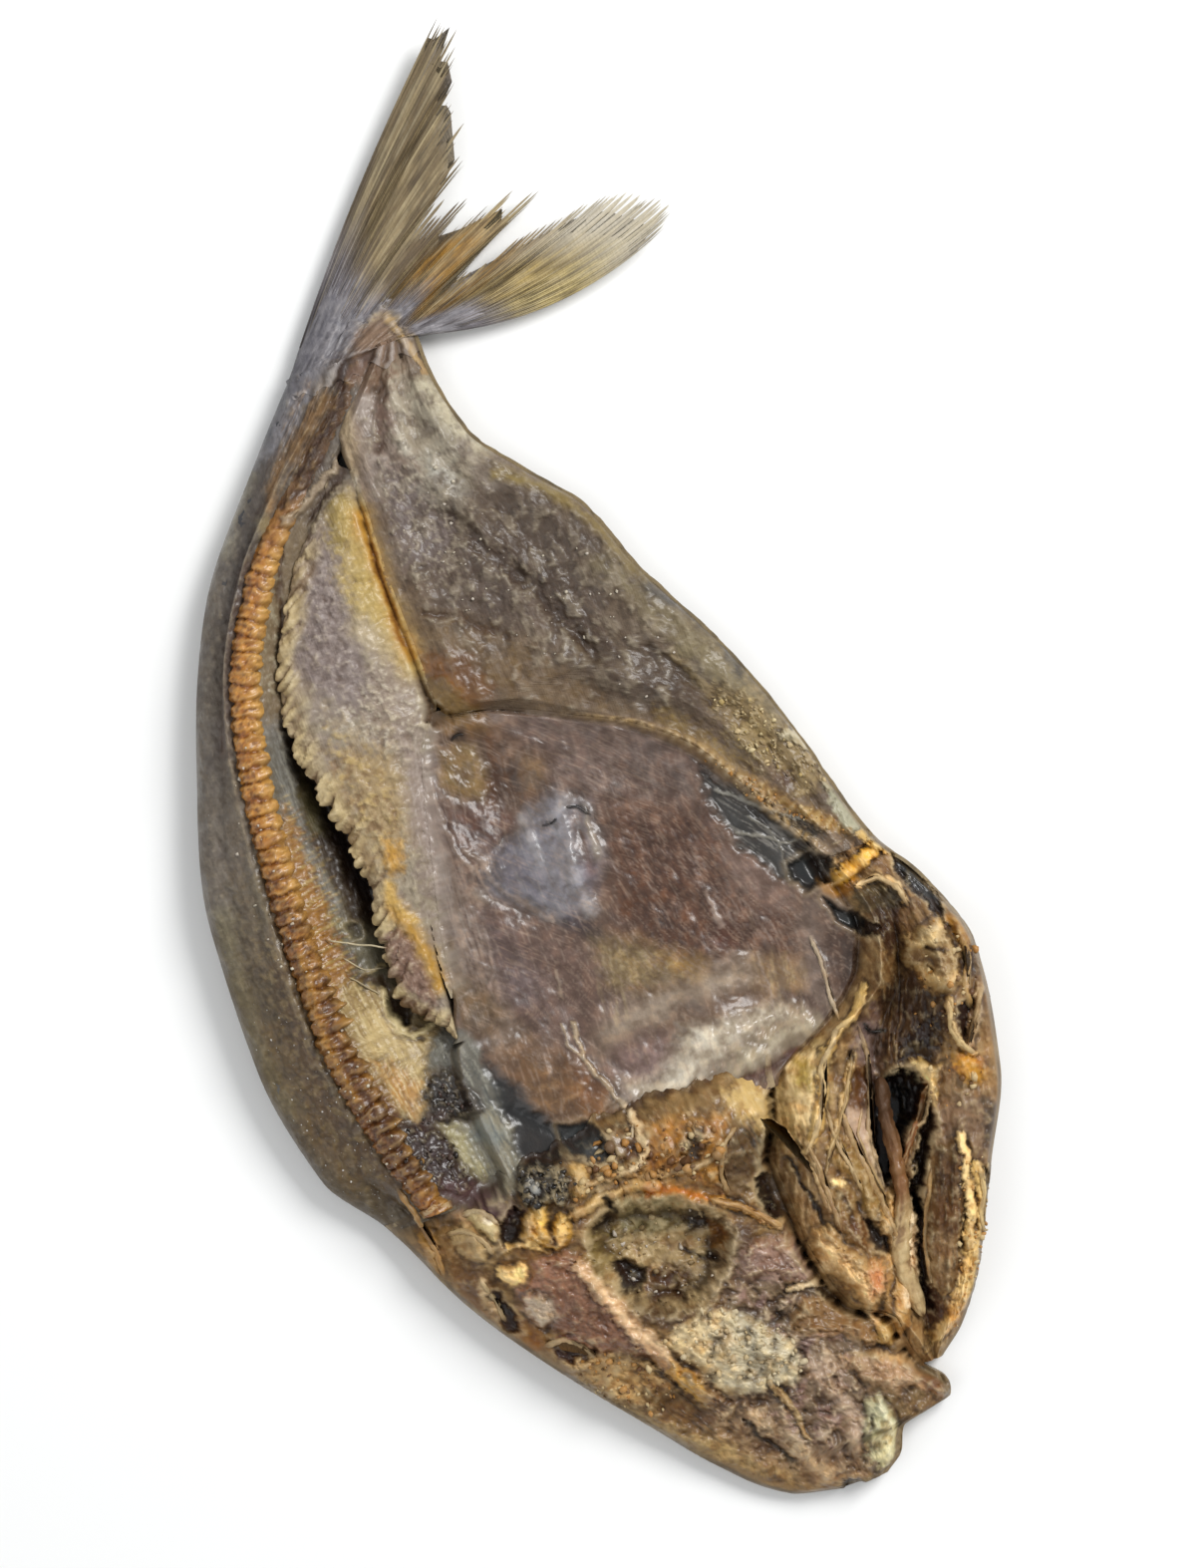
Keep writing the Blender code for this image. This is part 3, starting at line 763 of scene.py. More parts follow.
def slit_foot(x):
    """Where the floor of the slit meets the flap or the lining."""
    inner, lining_edge = float(fillet_inner(x)), float(lining_left(x)) - 0.8
    if x < -109.6:
        return lerp(min(slit_at(x), inner) - 0.3, inner - 1.0, float(smooth_step(-126, -120, x)))
    if x > 59:
        return lining_edge
    near = slit_at(x) + min(9.5, 0.4 * (float(seam(x)) - slit_at(x)))
    near = lerp(near, lining_edge, float(smooth_step(44, 55, x)))
    return lerp(inner - 1.0, near, float(smooth_step(-108, -94, x)))


def left_section(x):
    kl, ks = stretch(left, x), stretch(spine, x)
    seat = (spine_r(x) + SEAT) * ks
    over = arc(left(x), 1, kl, 6.5, rim_z(x) + 0.7, -0.25, np.linspace(-30, 75, 12))
    sunk = lerp(1, 5, smooth_step(-104, -86, x) * smooth_step(60, 44, x))
    foot = (max(slit_foot(x), slit_at(x) + 0.3) + 1.2, max(2.6, slit_z(x) - sunk))
    return over + [(left(x) + 8 * kl, rim_z(x) + 1.1), (spine(x) - seat - 1.4 * ks, crest_z(x) + 0.2),
                   (spine(x) - seat * 0.7, spine_z(x) + 0.5), (spine(x), spine_z(x) - 1),
                   (spine(x) + seat * 0.8, spine_z(x) - 0.3), (slit_at(x), slit_z(x) + 0.5), foot]


# bluish skin, brown fibres and the torn point where the flesh ends and the tail begins
TAIL_ROOT = """
patch 6 0 126,126,136,0.5 118,100 150,80 262,92 262,126 244,142 230,134 212,118 200,112 188,118 \
    176,140 154,166 136,206 108,230 100,190
mottle 3 0 164,164,176 128,100 180,84 262,92 262,126 236,144 200,108 170,130 140,170
mottle 2 0 92,92,106 128,100 180,84 250,92 262,126 200,108 170,130 140,190
streak 7 0 64,66,76 145,100 136,130 128,160 112,205
trace 9 0 84,84,96 160,112 150,135 134,168
patch 7 0 140,116,98 184,126 202,118 212,150 212,170 190,172 176,164
streak 6 0 112,86,74 190,150 176,160
threads 1.6 0.3 62,44,34 186,120 150,200 174,124 188,124 182,150 172,190 168,214 146,214 120,262 \
    104,262 124,200 150,160
threads 1.8 0.5 134,104,68 186,120 150,200 150,166 166,170 152,214 128,250 118,262 112,250 130,204
streak 6 -0.6 56,38,30 172,150 168,182 158,206 140,236
streak 5 0.3 126,96,60 158,180 146,200 134,222
streak 4 0.2 150,118,80 128,226 118,258
cord 4 1.0 142,126,108 170,224 158,240 144,256 132,270
cord 3.5 0.8 128,116,100 166,244 156,260 150,276
streak 4 -0.5 60,42,32 172,232 160,252 150,268
streak 3 -0.5 66,46,34 158,222 146,240 130,256
bone 3 0.5 176,150,108 204,118 212,128 222,142 232,158
"""

# the fan of fibres, the blue tissue and the blood clots between the body and the head
# on the clots, the grey-violet mottling is a painted reflection and the small pale dot on the black lump a
# painted glint
HEAD_END = """
patch 5 0.4 168,146,98,0.5 172,606 186,612 202,616 208,630 216,642 232,642 246,638 240,652 234,664 \
    232,690 238,700 230,710 214,704 196,684 180,660 168,630
patch 5 0 206,184,132 184,630 204,628 226,656 230,676 206,664 190,652
patch 6 0 192,146,82 196,664 224,678 234,700 226,710 208,692
threads 1.1 0.2 140,112,70 170,610 206,676 172,606 206,620 232,660 236,700 220,710 190,680 170,640
threads 0.9 0.2 224,208,164 170,610 206,676 172,606 206,620 232,660 236,700 220,710 190,680 170,640
trace 5 -0.3 124,78,44 166,640 186,670 206,700
streak 3 0 104,68,40 188,676 202,696 216,712
pit 5 3.5 52,42,26 203,620 212,616 222,622 222,640 214,646 206,636
patch 4 0 124,106,70 222,618 236,622 244,634 232,640 222,642
streak 2 -0.5 70,56,34 224,646 230,652
bone 3 0.8 206,190,146 202,616 206,628 212,644 224,648 238,640
patch 4 0.3 108,108,102,0.85 238,650 252,642 266,648 282,676 294,700 292,712 270,700 262,686 250,676 \
    238,672
patch 5 0.3 150,146,128,0.8 246,712 262,706 280,700 300,716 306,738 298,764 284,772 268,754 254,732
patch 5 0.2 168,160,120,0.6 240,712 256,712 268,730 278,748 272,758 256,736 246,724
threads 1.0 0.25 174,176,168 240,648 300,752 238,650 254,644 288,690 306,738 298,766 270,750 262,690
threads 1.2 0.1 74,78,80 240,648 300,752 238,650 254,644 288,690 306,738 298,766 270,750 262,690
glaze 6 0 120,140,152 272,706 290,720 284,732 270,724
patch 6 -0.8 24,26,28,0.9 276,662 288,676 302,690 322,706 338,722 346,738 320,742 300,738 296,716 284,694
streak 6 -0.6 20,22,24,0.9 296,704 316,712 334,722
pit 4 1.4 50,56,60,0.9 330,714 346,712 362,716 374,736 358,738 338,734
plate 5 1.6 34,28,26,0.95 232,682 244,674 256,676 262,684 272,690 276,702 266,712 254,708 250,716 \
    240,712 238,702 230,694
mottle 1.8 0.8 22,20,20 236,684 246,678 260,682 270,698 262,707 246,706 238,700
mottle 1.3 0.4 84,70,60 238,686 246,680 258,684 266,698 250,700
plate 5 1.2 54,38,36,0.95 208,722 220,712 240,716 252,732 270,754 264,768 240,762 212,752
mottle 2.4 0.9 30,22,24 208,722 220,712 240,716 252,732 270,754 264,768 240,762 212,752
mottle 1.6 0.5 104,96,106 226,726 246,734 256,752 236,748
streak 4 0 60,40,36 246,706 230,716
patch 6 0 88,62,64 246,752 280,760 304,772 296,784 270,776 240,766
plate 6 2.6 20,20,22,0.95 300,744 312,738 332,740 342,752 338,772 306,772 298,760
mottle 1.8 1.0 58,60,64 300,744 312,738 332,740 342,752 338,772 306,772 298,760
cord 4 0.8 190,196,202,0.9 311,756 316,758
"""


f = Sheet(sweep(TAIL_X - 1.5, HEAD_X + 2.5, 0.5, left_section, 150, 2), (112, 104, 96))
wall = smooth_step(1, 4, f.y - spine(f.x)) * smooth_step(0, 1, f.z - 2)
band = (1 - wall) * smooth_step(0.5, 4, f.y - left(f.x))
f.lift(band * rough(f.x * 0.6, f.y, 9, 61), 0.6)
f.lift(band * rough(f.x, f.y, 2.6, 60, 3), 0.25)
f.lift(wrinkle(f.x * 0.3, f.y, 3.2, 62) - 0.5, 0.35 * (1 - 0.5 * wall))
f.colour(f.blotch(7, 63, -0.3, 0.5) * 0.5, 94, 86, 82)
f.colour(f.blotch(3, 67, 0.0, 0.6) * band * 0.4, 134, 126, 118)
f.work("""
patch 16 0 96,84,62,0.75 90,540 110,520 124,540 134,580 136,640 160,690 190,730 214,760 250,790 \
    180,780 130,700 100,620
patch 12 0 98,74,40,0.8 120,580 138,590 150,640 176,690 204,730 240,774 200,760 160,730 140,680 124,620
glaze 10 0 120,98,60 110,640 130,640 150,700 190,750 180,770 130,700
streak 9 0 150,146,134 110,215 96,250 86,290
streak 8 0 82,76,74 118,215 104,262 98,300 92,340
streak 7 0 92,78,72 104,300 96,330 90,380 86,440
mottle 5 0 88,82,80 110,220 100,300 80,400 76,480 60,460 66,380 90,260
mottle 4 0 136,132,126 100,240 84,300 66,380 60,460 74,520 64,420
glaze 8 0 128,112,92 92,440 100,500 108,560 120,600 108,600 92,520
streak 5 0 104,84,60 104,450 112,500 122,548 130,590
mottle 5 0 70,56,40 84,540 120,560 160,660 200,730 180,760 130,690 100,620
mottle 3 0.1 150,134,100 96,560 130,580 170,680 210,750 190,770 140,700
trace 8 0 134,128,100 84,560 96,610 110,660 132,700
streak 5 0.2 146,132,98 116,268 118,300 116,340 114,392
""")
f.colour(wall * smooth_step(230, 280, f.down) * 0.9, 128, 112, 88, wet=0.6)
# the two sunk dark brown patches along the slit in this table are painted shade
f.work("""
patch 7 0 146,142,140,0.6 114,416 126,416 140,470 158,520 172,556 156,560 140,520 126,480
patch 6 0 158,152,148,0.6 130,470 150,510 160,540 150,545 136,500
threads 1.0 0.1 104,98,92 126,440 166,560 114,416 140,420 180,560 160,564 124,470
threads 1.1 0.1 184,178,170 126,440 166,560 120,426 140,470 170,556 152,550 130,490
patch 4 -0.8 68,50,34 126,418 136,420 150,450 164,480 182,516 196,546 200,572 184,566 166,540 148,500 \
    138,460 130,436
patch 4 -0.8 64,40,22 162,486 178,504 196,536 200,566 190,556 176,538 164,510
patch 4 0 124,112,76 140,450 156,476 160,500 150,500 140,470
patch 5 0 164,152,120 152,548 166,556 178,566 170,580 160,566
patch 5 0 126,118,100,0.7 166,568 190,570 204,580 206,610 190,616 176,604 166,584
pit 3 1.2 88,82,68 176,566 186,564 188,574 180,576
patch 3 0 138,132,128 166,584 180,584 176,598 168,592
cord 2 0.5 170,150,112 176,616 188,602 202,596
streak 4 -0.6 84,60,34 186,606 200,608 206,616
""")
# painted shade deep down the slit wall
deep = smooth_step(10.5, 6.5, f.z) * smooth_step(560, 530, f.down) * smooth_step(400, 440, f.down)
f.colour(deep * wall * 0.9, 44, 30, 20)
f.work("""
streak 2.5 -0.8 84,62,42 126,286 126,320 127,350 128,396
mottle 2 0.2 176,170,150 112,290 126,290 128,400 112,400
patch 5 0.8 192,130,40,0.8 128,480 140,500 156,540 168,580 180,610 196,650 214,700 204,716 180,680 \
    160,640 146,590 134,540
threads 1.2 0.4 140,86,34 150,590 200,560 128,470 148,500 170,560 190,620 214,680 216,716 190,700 \
    160,650 140,570
threads 1.2 0.4 226,192,122 150,590 200,560 128,470 148,500 170,560 190,620 214,680 216,716 190,700 \
    160,650 140,570
""")
f.tone(smooth_step(540, 640, f.down) * (1 - wall), 0.74, 0.66, 0.5)
f.tone(wall * smooth_step(400, 440, f.down), 0.66, 0.7, 0.68)
f.tone(f.area([(196, 680), (222, 676), (236, 704), (214, 720)], 8), 0.68, 0.62, 0.56)
# painted shade: the slit darkened where it lies low
slit = f.line([(127, 414), (142, 450), (162, 488), (184, 528), (202, 568)], 9, wander=2)
f.tone(slit * wall * smooth_step(15, 12, f.z), 0.32, 0.28, 0.24)
f.work(TAIL_ROOT)
f.work(HEAD_END)
f.grit_and_shade(np.ones(f.x.size), 2.4, 0.2, 0.14, 301)
f.grit_and_shade(band, 1.3, 0.05, 0.10, 302)
f.salt += 0.16 * band + 0.16 * smooth_step(540, 680, f.down)
# painted shade in the hollows and painted light on the crests
f.relief_shading(30, 0.6, 0.35, 0.2)
f.lay()
fillet_look = flesh_finish("glassy_flesh", mottle=0.55, speckle=0.4, fibre=0.25, bump=0.45)
f.make("left_fillet_flesh", fillet_look, "flesh_left", ["left_fillet"], base=1.2)


# ---------------------------------------------------------------- Backbone
# Orange vertebrae in a row, each with a raised ring at either end and darker gristle between; brown
# and buried in fibres at the tail, with a yellow comb of spines beside it towards the head.
VERTEBRA, VERTEBRAE = 4.8, 120  # length of one in mm, and how many differ


def bone_section(x):
    turn = np.radians(np.linspace(-62, 242, 26))
    r, ks = spine_r(x) + 0.35, stretch(spine, x)
    return list(zip(spine(x) - r * ks * 0.97 * np.cos(np.pi - turn), spine_z(x) + 0.2 + r * np.sin(turn)))


bone = Sheet(sweep(TAIL_X - 1, HEAD_X + 1.5, 0.42, bone_section, 46, 0), (196, 132, 58))
slope = spine(bone.x + 0.5) - spine(bone.x - 0.5)
foot_x = bone.x + (bone.y - spine(bone.x)) * slope / (1 + slope ** 2)
xs = np.linspace(TAIL_X - 3, HEAD_X + 3, 600)
run = np.concatenate([[0], np.cumsum(np.hypot(np.diff(xs), np.diff(spine(xs))))])
bone_s = np.interp(foot_x, xs, run) + 0.9 * rough(bone.x, bone.y, 6, 70)
beat = (bone_s / VERTEBRA) % 1
own = np.random.default_rng(79).random(VERTEBRAE)[(bone_s / VERTEBRA).astype(int) % VERTEBRAE]
ring = bell(beat, 0.26, 0.15) + (0.5 + 0.5 * own) * bell(beat, 0.72, 0.15)
gap = bell(np.minimum(beat, 1 - beat), 0, 0.1)
plump = smooth_step(-116, -92, bone.x)
aside, above = bone.y - spine(bone.x), bone.z - spine_z(bone.x)
lateral = aside / spine_r(bone.x)
swell = 1 + plump * (0.10 * ring - 0.14 * gap) + 0.12 * rough(bone.x, bone.y + bone.z, 3.2, 71)
bone.y, bone.z = spine(bone.x) + aside * swell, spine_z(bone.x) + above * swell
spur = bell(beat, 0.55, 0.24) * smooth_step(0.3, 0.9, lateral) * smooth_step(-1, 2, above)
comb = smooth_step(20, 36, bone.x) * smooth_step(100, 84, bone.x)
bone.y += spur * (0.5 + 2.8 * comb * own) + 0.5 * plump * (own - 0.5) * smooth_step(0.2, 0.8, np.abs(lateral))
bone.z += spur * comb + 0.35 * rough(bone.x, bone.y, 2.2, 73) + 0.15 * noise(bone.x, bone.y, 0.9, 74)
bone.z -= 2.6 * (1 - plump) * smooth_step(-1, 3, above)
bone.colour(plump * 0.95, 190, 126, 46, wet=0.8)
# painted light: the half of each bead towards the key lamp is paler
bone.colour(plump * smooth_step(-0.3, 0.7, lateral) * 0.6, 214, 170, 96)
bone.colour(ring * plump * bone.blotch(3, 75, -0.6, 0.3) * 0.7, 220, 166, 84)
bone.colour(gap * plump * bone.blotch(5, 175, -0.9, 0.2) * 0.9, 108, 60, 24)
bone.colour(bone.blotch(4, 76, -0.1, 0.5) * plump * 0.65, 150, 90, 36)
bone.colour(bone.blotch(2, 72, 0.2, 0.7) * plump * 0.7, 104, 60, 28)
# painted light on the side towards the key lamp and painted shade on the far side
bone.colour(smooth_step(0.4, 1.0, lateral) * plump * 0.5, 196, 156, 88)
bone.colour(smooth_step(0.5, 1.0, -lateral) * bone.blotch(4, 176, -0.3, 0.4) * 0.6, 112, 78, 46)
bone.colour((1 - plump) * 0.9, 104, 82, 60)
bone.colour(spur * comb * 0.7, 206, 164, 84)
bone.colour(comb * bell(lateral, -0.1, 0.2) * 0.6, 208, 152, 66)
bone.colour(comb * bell(lateral, 0.35, 0.16) * 0.7, 104, 62, 36)
bone.work("""
mottle 6 0 96,62,32 100,500 140,520 170,600 220,700 200,720 150,640
mottle 3 -0.2 84,50,26 100,520 140,540 170,600 220,700 200,720 150,640
patch 10 0 112,70,34 160,640 178,664 196,690 214,720 196,720 176,690
patch 8 0 92,60,40 188,690 204,704 220,724 240,760 222,760 202,730
streak 4 0.5 206,156,72,0.8 144,590 150,620 160,650 170,672 182,692
mottle 3 0 84,50,28 120,540 150,560 166,620 200,680 180,690 150,630
""")
bone.salt[:] = 0.04
bone.tone(smooth_step(500, 610, bone.down), 0.62, 0.54, 0.4)
bone.work(TAIL_ROOT)
bone.grit_and_shade(plump, 1.4, 0.08, 0.12, 303)
# painted shade in the hollows and painted light on the crests
bone.relief_shading(14, 0.45, 0.25, 0.2, (104, 62, 26), (232, 196, 134))
bone.lay()
bone_look = flesh_finish("oily_bone", mottle=0.4, speckle=0.5, fibre=0.12, bump=0.45, fine=1700)
bone.make("backbone_beads", bone_look, "backbone", ["backbone"], base=6.0)


# ---------------------------------------------------------------- Right fillet
# The broad free half of the flesh, grey-brown and mottled, whitish where it dried hardest, with two
# soft lengthwise furrows. Its cut edge is pale cream and lies in the thin rim of the skin.
seam_z = curve((-142, 11), (-90, 15.5), (-40, 14.5), (56, 11))
tall = curve((-142, 0.78), (-95, 1), (0, 1), (44, 0.9))


def right_section(x):
    inner = float(fillet_inner(x)) + 0.3
    if x < 57:
        inner = max(inner, float(seam(x)) + 0.35)
    kr, t = stretch(right, x), float(tall(x))
    lip = float(right(x)) - 3.2 * kr
    slope = float(smooth_step(-40, -24, x))
    profile = [(0, lerp(14.0, 11.4, slope)), (0.05, lerp(14.8, 12.6, slope)), (0.13, lerp(16.6, 14.6, slope)),
               (0.34, 14.0), (0.52, 16.0), (0.72, 13.0), (0.88, 14.6), (1, 12.9)]
    body = [(lerp(inner, lip, f), z * t + 0.3) for f, z in profile]
    edge = [(right(x) - 1.7 * kr, 10.4 * t + 0.8), (right(x) - kr, 8.6 * t), (right(x) - 0.9 * kr, 6.0 * t)]
    return [(inner - 1.1, (11.0 - 1.6 * slope) * t)] + body + edge


# gristle, dark rib flesh and torn slits where fillet, lining and head meet
# on the cream folded nub the two bright lines are painted highlights on its folds and the two dark streaks
# painted shade inside them
CORNER = """
patch 5 -1.8 46,48,48,0.8 436,452 460,464 490,482 520,494 542,506 536,520 524,534 514,542 496,532 \
    476,516 456,496 440,476
threads 1.0 0.3 150,148,146 440,458 530,520 438,454 470,468 520,496 536,512 500,526 460,498
cord 1.6 0.5 150,150,146 446,466 468,474 488,482 510,488
cord 1.4 0.5 128,126,120 462,498 482,502 502,506 520,500
cord 1.4 0.4 112,110,104 470,486 486,496 496,512 500,524
patch 4 0.8 150,130,112 518,500 536,498 542,508 530,518 518,514
pit 4 1.6 20,24,26,0.9 500,522 518,514 536,516 530,530 516,541 504,534
pit 4 2.2 36,42,44,0.9 526,546 540,552 560,562 574,566 570,575 552,573 536,564
patch 4 0.5 110,98,70 548,540 566,534 582,540 584,556 570,560 552,554
pit 4 2.6 40,46,50,0.9 576,512 590,516 604,532 614,552 618,566 606,556 590,540 580,528
plate 5 1.2 176,176,154 526,462 548,466 560,480 566,498 548,500 534,484
streak 4 -0.8 70,76,76 562,478 566,496
patch 4 0.6 176,124,42,0.7 522,534 536,528 548,530 550,542 538,546 526,542
bone 6 2.2 204,160,82,0.6 536,532 548,524 560,514 572,502 578,498
bone 4 1.2 212,178,112 556,500 568,508 580,512
bone 3 1.0 186,164,124 552,536 566,531 580,536 586,548
patch 5 0 106,72,46 562,556 584,556 584,580 572,592 566,574
plate 7 2.6 184,164,124 582,574 596,566 612,558 620,574 624,590 628,604 618,615 606,616 596,606 584,592
streak 3 0.6 220,202,158 588,580 606,574 616,562
streak 3 0.5 216,194,146 596,600 614,606 624,598
streak 4 -0.6 150,126,96 594,588 608,592
streak 2 -0.8 96,70,44 600,580 612,584
plate 6 1.4 186,140,66 618,556 632,556 638,576 626,584 620,574
patch 4 -0.8 100,74,48 622,584 638,580 642,600 628,604
"""

f = Sheet(sweep(TAIL_X - 1.5, 46, 0.48, right_section, 220, 4), (126, 110, 96))
near_edge = right(f.x) - f.y
from_seam = f.y - fillet_inner(f.x)
f.lift(rough(f.x * 0.5, f.y, 11, 90, 3), 0.8)
f.lift(rough(f.x * 0.8, f.y, 4, 91, 3), 0.35)
f.lift(rough(f.x, f.y, 1.6, 92, 2), 0.12)
f.colour(f.blotch(16, 98, -0.2, 0.5) * 0.4, 134, 122, 106)
# the dark sunk streak along the long furrow in this table is painted shade
f.work("""
patch 14 0 146,130,120 174,130 210,150 226,200 236,240 240,290 224,320 200,270 182,240 174,190
patch 10 0 140,114,102 178,122 204,122 212,150 206,180 180,180
streak 9 0 170,160,156 190,180 196,210 200,236
streak 5 -1.2 108,84,72 200,168 202,192 200,214
patch 10 0 132,122,124 200,226 226,236 248,262 264,284 244,302 222,300 206,270
patch 10 0.3 156,150,136 216,158 236,172 262,200 276,222 272,242 262,258 248,262 236,250 226,232 220,200
streak 7 0.5 206,200,178 232,166 246,184 262,204 272,218
streak 5 0.7 196,190,176 208,150 214,186 220,214
streak 4 0.3 214,210,198 213,206 219,218
streak 7 0.3 182,182,178 240,226 252,246 258,256
patch 12 0 94,80,68 276,224 330,246 356,272 378,300 366,334 330,312 300,292 276,264 262,250
mottle 6 0.2 126,112,98 276,224 340,252 378,300 366,334 320,300 280,262
mottle 3 -0.1 86,70,58 280,240 340,270 366,320 350,330 300,296 270,262
patch 10 0 84,68,54 288,282 322,286 346,320 372,360 350,362 320,326
streak 7 -2.4 70,54,42 250,262 262,277 280,292 300,306 318,322 338,346 358,368
patch 10 0.4 106,92,84 238,286 262,284 296,312 318,340 298,350 262,336 240,330
streak 6 0 146,136,128 262,214 280,240
streak 5 0.3 142,124,70 286,232 322,244 346,260 364,276 380,294 396,312
streak 11 0.5 146,136,108 366,300 386,318 406,334 428,352 450,368 472,392 490,414 508,430
streak 5 0 88,84,78 398,318 422,332 440,345 456,362 468,384
patch 12 0 134,114,88 222,322 240,342 300,356 330,366 360,386 400,404 434,422 440,440 400,424 360,410 \
    320,404 290,404 262,380 236,362
mottle 5 0.3 156,140,126 262,346 300,356 330,366 350,390 300,402 270,376
mottle 4 0 132,106,62 240,342 300,356 360,384 420,412 430,432 360,408 290,398
streak 3 -0.9 102,76,50 232,338 258,340 276,349 298,354
patch 12 0 90,74,58 330,346 372,350 420,376 442,404 430,418 396,412 360,396 336,372
mottle 6 0 130,114,92 330,346 372,350 420,376 442,404 430,418 396,412 360,396 336,372
patch 9 0.3 152,142,112 396,338 430,354 452,368 476,396 470,406 440,386 420,368
streak 3 -0.9 92,76,56 398,360 420,377 434,392 446,404
streak 3 0.5 176,160,124 414,366 428,380 440,394
patch 9 0.4 174,154,108 442,392 470,398 500,424 520,438 526,458 510,472 480,452 460,430
mottle 3 0.8 210,190,136 442,392 470,398 500,424 520,438 526,458 510,472 480,452 460,430
mottle 2.4 -0.4 126,104,84 450,420 470,430 500,456 500,466 476,452
patch 6 -0.3 120,98,88 484,450 500,454 504,464 490,464
bone 5 1.2 214,206,174 498,426 512,430 525,438 531,454 530,464
patch 8 0 150,126,62 404,408 430,420 460,440 470,452 440,446 410,428
patch 6 0 126,86,38,0.9 234,362 262,366 284,390 278,408 258,400 240,384
streak 5 0 156,104,36,0.9 236,374 250,386 264,402
patch 6 0 142,114,58,0.6 228,384 250,390 276,408 270,424 246,422 232,404
streak 9 0.3 196,166,98,0.6 184,258 196,296 208,330 222,362
streak 4 0 188,140,62,0.7 186,262 196,296 208,332 222,362 232,378
streak 2 -0.3 150,98,38,0.7 200,312 207,338 218,358
streak 4 0.5 226,222,210,0.8 178,240 182,254
streak 6 0.4 182,164,136 172,170 176,206 178,234
mottle 7 0.35 160,150,134 176,130 224,150 262,204 300,240 380,300 440,380 420,410 330,380 262,360 \
    224,320 190,220
mottle 6 -0.2 98,84,72 176,130 224,150 262,204 300,240 380,300 440,380 420,410 330,380 262,360 224,320 \
    190,220
mottle 2.4 0.3 180,172,160 198,220 250,250 262,300 230,330 206,290
threads 1.3 0.1 92,74,62 300,290 400,380 250,250 330,300 440,400 400,400 300,330
""")
scallop = f.line([(384, 420), (420, 430), (445, 446), (466, 458), (500, 478), (544, 497)], 5, wander=2)
beads = 0.5 + 0.5 * np.sin((f.right + 0.6 * f.down + 6 * f.drift[0]) / 1.7)
f.colour(scallop * smooth_step(395, 440, f.right) * 0.9, 190, 146, 68, wet=0.6)
# painted highlights on the tops of the scallop's beads
f.colour(scallop * beads * smooth_step(390, 450, f.right) * 0.7, 222, 192, 124)
f.lift(scallop * smooth_step(385, 450, f.right) * (0.5 + 0.6 * beads), 1.0)
crust = smooth_step(7, 2, near_edge + 1.3 * rough(f.x, f.x * 0, 9, 94)) * smooth_step(-45, -5, f.x)
f.crumbs(crust, 3.4, 0.7, 99, 0.5, 0.2)
f.salt += 0.14 * smooth_step(14, 4, near_edge) + 0.10 * f.line([(262, 215), (340, 290)], 40)
f.work(TAIL_ROOT)
f.tone(smooth_step(230, 270, f.down) * smooth_step(30, 60, f.down - 0.55 * f.right + 30), 0.74, 0.71, 0.69)
f.tone(f.blotch(10, 309, -0.2, 0.5), 0.82, 0.79, 0.76)
belly = smooth_step(-28, -12, f.x)
f.colour(smooth_step(9, 2, from_seam) * belly * 0.6, 150, 130, 112)
f.colour(smooth_step(5, 1, from_seam) * belly * f.blotch(3, 310, -0.2, 0.4) * 0.6, 176, 150, 116)
f.grit_and_shade(f.blotch(16, 308, -0.3, 0.5), 3.4, 0.2, 0.10, 304)
f.grit_and_shade(1.1 - f.wet, 1.6, 0.08, 0.10, 305)
f.work(CORNER)
torn = smooth_step(1.6, 2.6, from_seam + 0.5 * rough(f.x, f.y, 3, 311)) * smooth_step(6.5, 4.0, from_seam)
torn = torn * smooth_step(-24, -14, f.x) * smooth_step(46, 38, f.x)
f.colour(torn * (0.35 + 0.65 * beads) * 0.9, 190, 160, 110)
f.lift(torn * (0.3 + beads), 0.8)
# painted shade in the hollows and painted light on the crests, at two sizes
f.relief_shading(30, 0.6, 0.35, 0.25, (62, 46, 34), (204, 196, 178))
f.relief_shading(5, 0.25, 0.15, 0.1, (70, 56, 44), (206, 198, 180))
f.lay()
f.sides(near_edge + 9 * smooth_step(24, 6, f.x))
steak_look = flesh_finish("dry_flesh", mottle=0.4, speckle=0.4, fibre=0.3, bump=0.35, gloss=0.9, fine=1400)
f.make("right_fillet_flesh", steak_look, "flesh_right", ["right_fillet"], base=1.2)


# ---------------------------------------------------------------- Rib flap
# The flap of muscle cut off the ribs: lilac and tan, knobbly with dried fibre ends, its pale yellow
# edge frayed into nubs that hang over the slit. It grows out of the seam beside the free fillet.
flap_z = curve((-111, 15), (-60, 18.5), (0, 18), (56, 13.5))
FLAP_ENDS = (-110.8, 57.5)


def flap_edge(x):
    reach = max(0.12, min(1.0, (float(seam(x)) - slit_at(x)) / 16))
    ks = stretch(spine, x)
    edge = max(slit_at(x) + 0.5 * reach, float(spine(x) + (spine_r(x) + SEAT) * ks + 3 * ks + 1.6 * reach))
    return lerp(edge, float(seam(x)) - 2.5, float(smooth_step(36, 57, x)) ** 1.5)


def flap_section(x):
    edge, top, into = flap_edge(x), float(flap_z(x)) + 0.4, float(seam(x))
    wide = into - edge
    root = min(slit_foot(x) + 0.5, into - 0.4)
    return [(root, 2.2), (root, 5), (edge + 0.16 * wide, top - 5.4), (edge, top - 3.6),
            (edge - 0.1, top - 2.6), (edge + 0.1 * wide, top - 0.9), (edge + 0.4 * wide, top),
            (edge + 0.74 * wide, top - 0.5), (into - 0.8, float(seam_z(x)) + 0.2),
            (into + 1.6, float(seam_z(x)) - 0.4)]


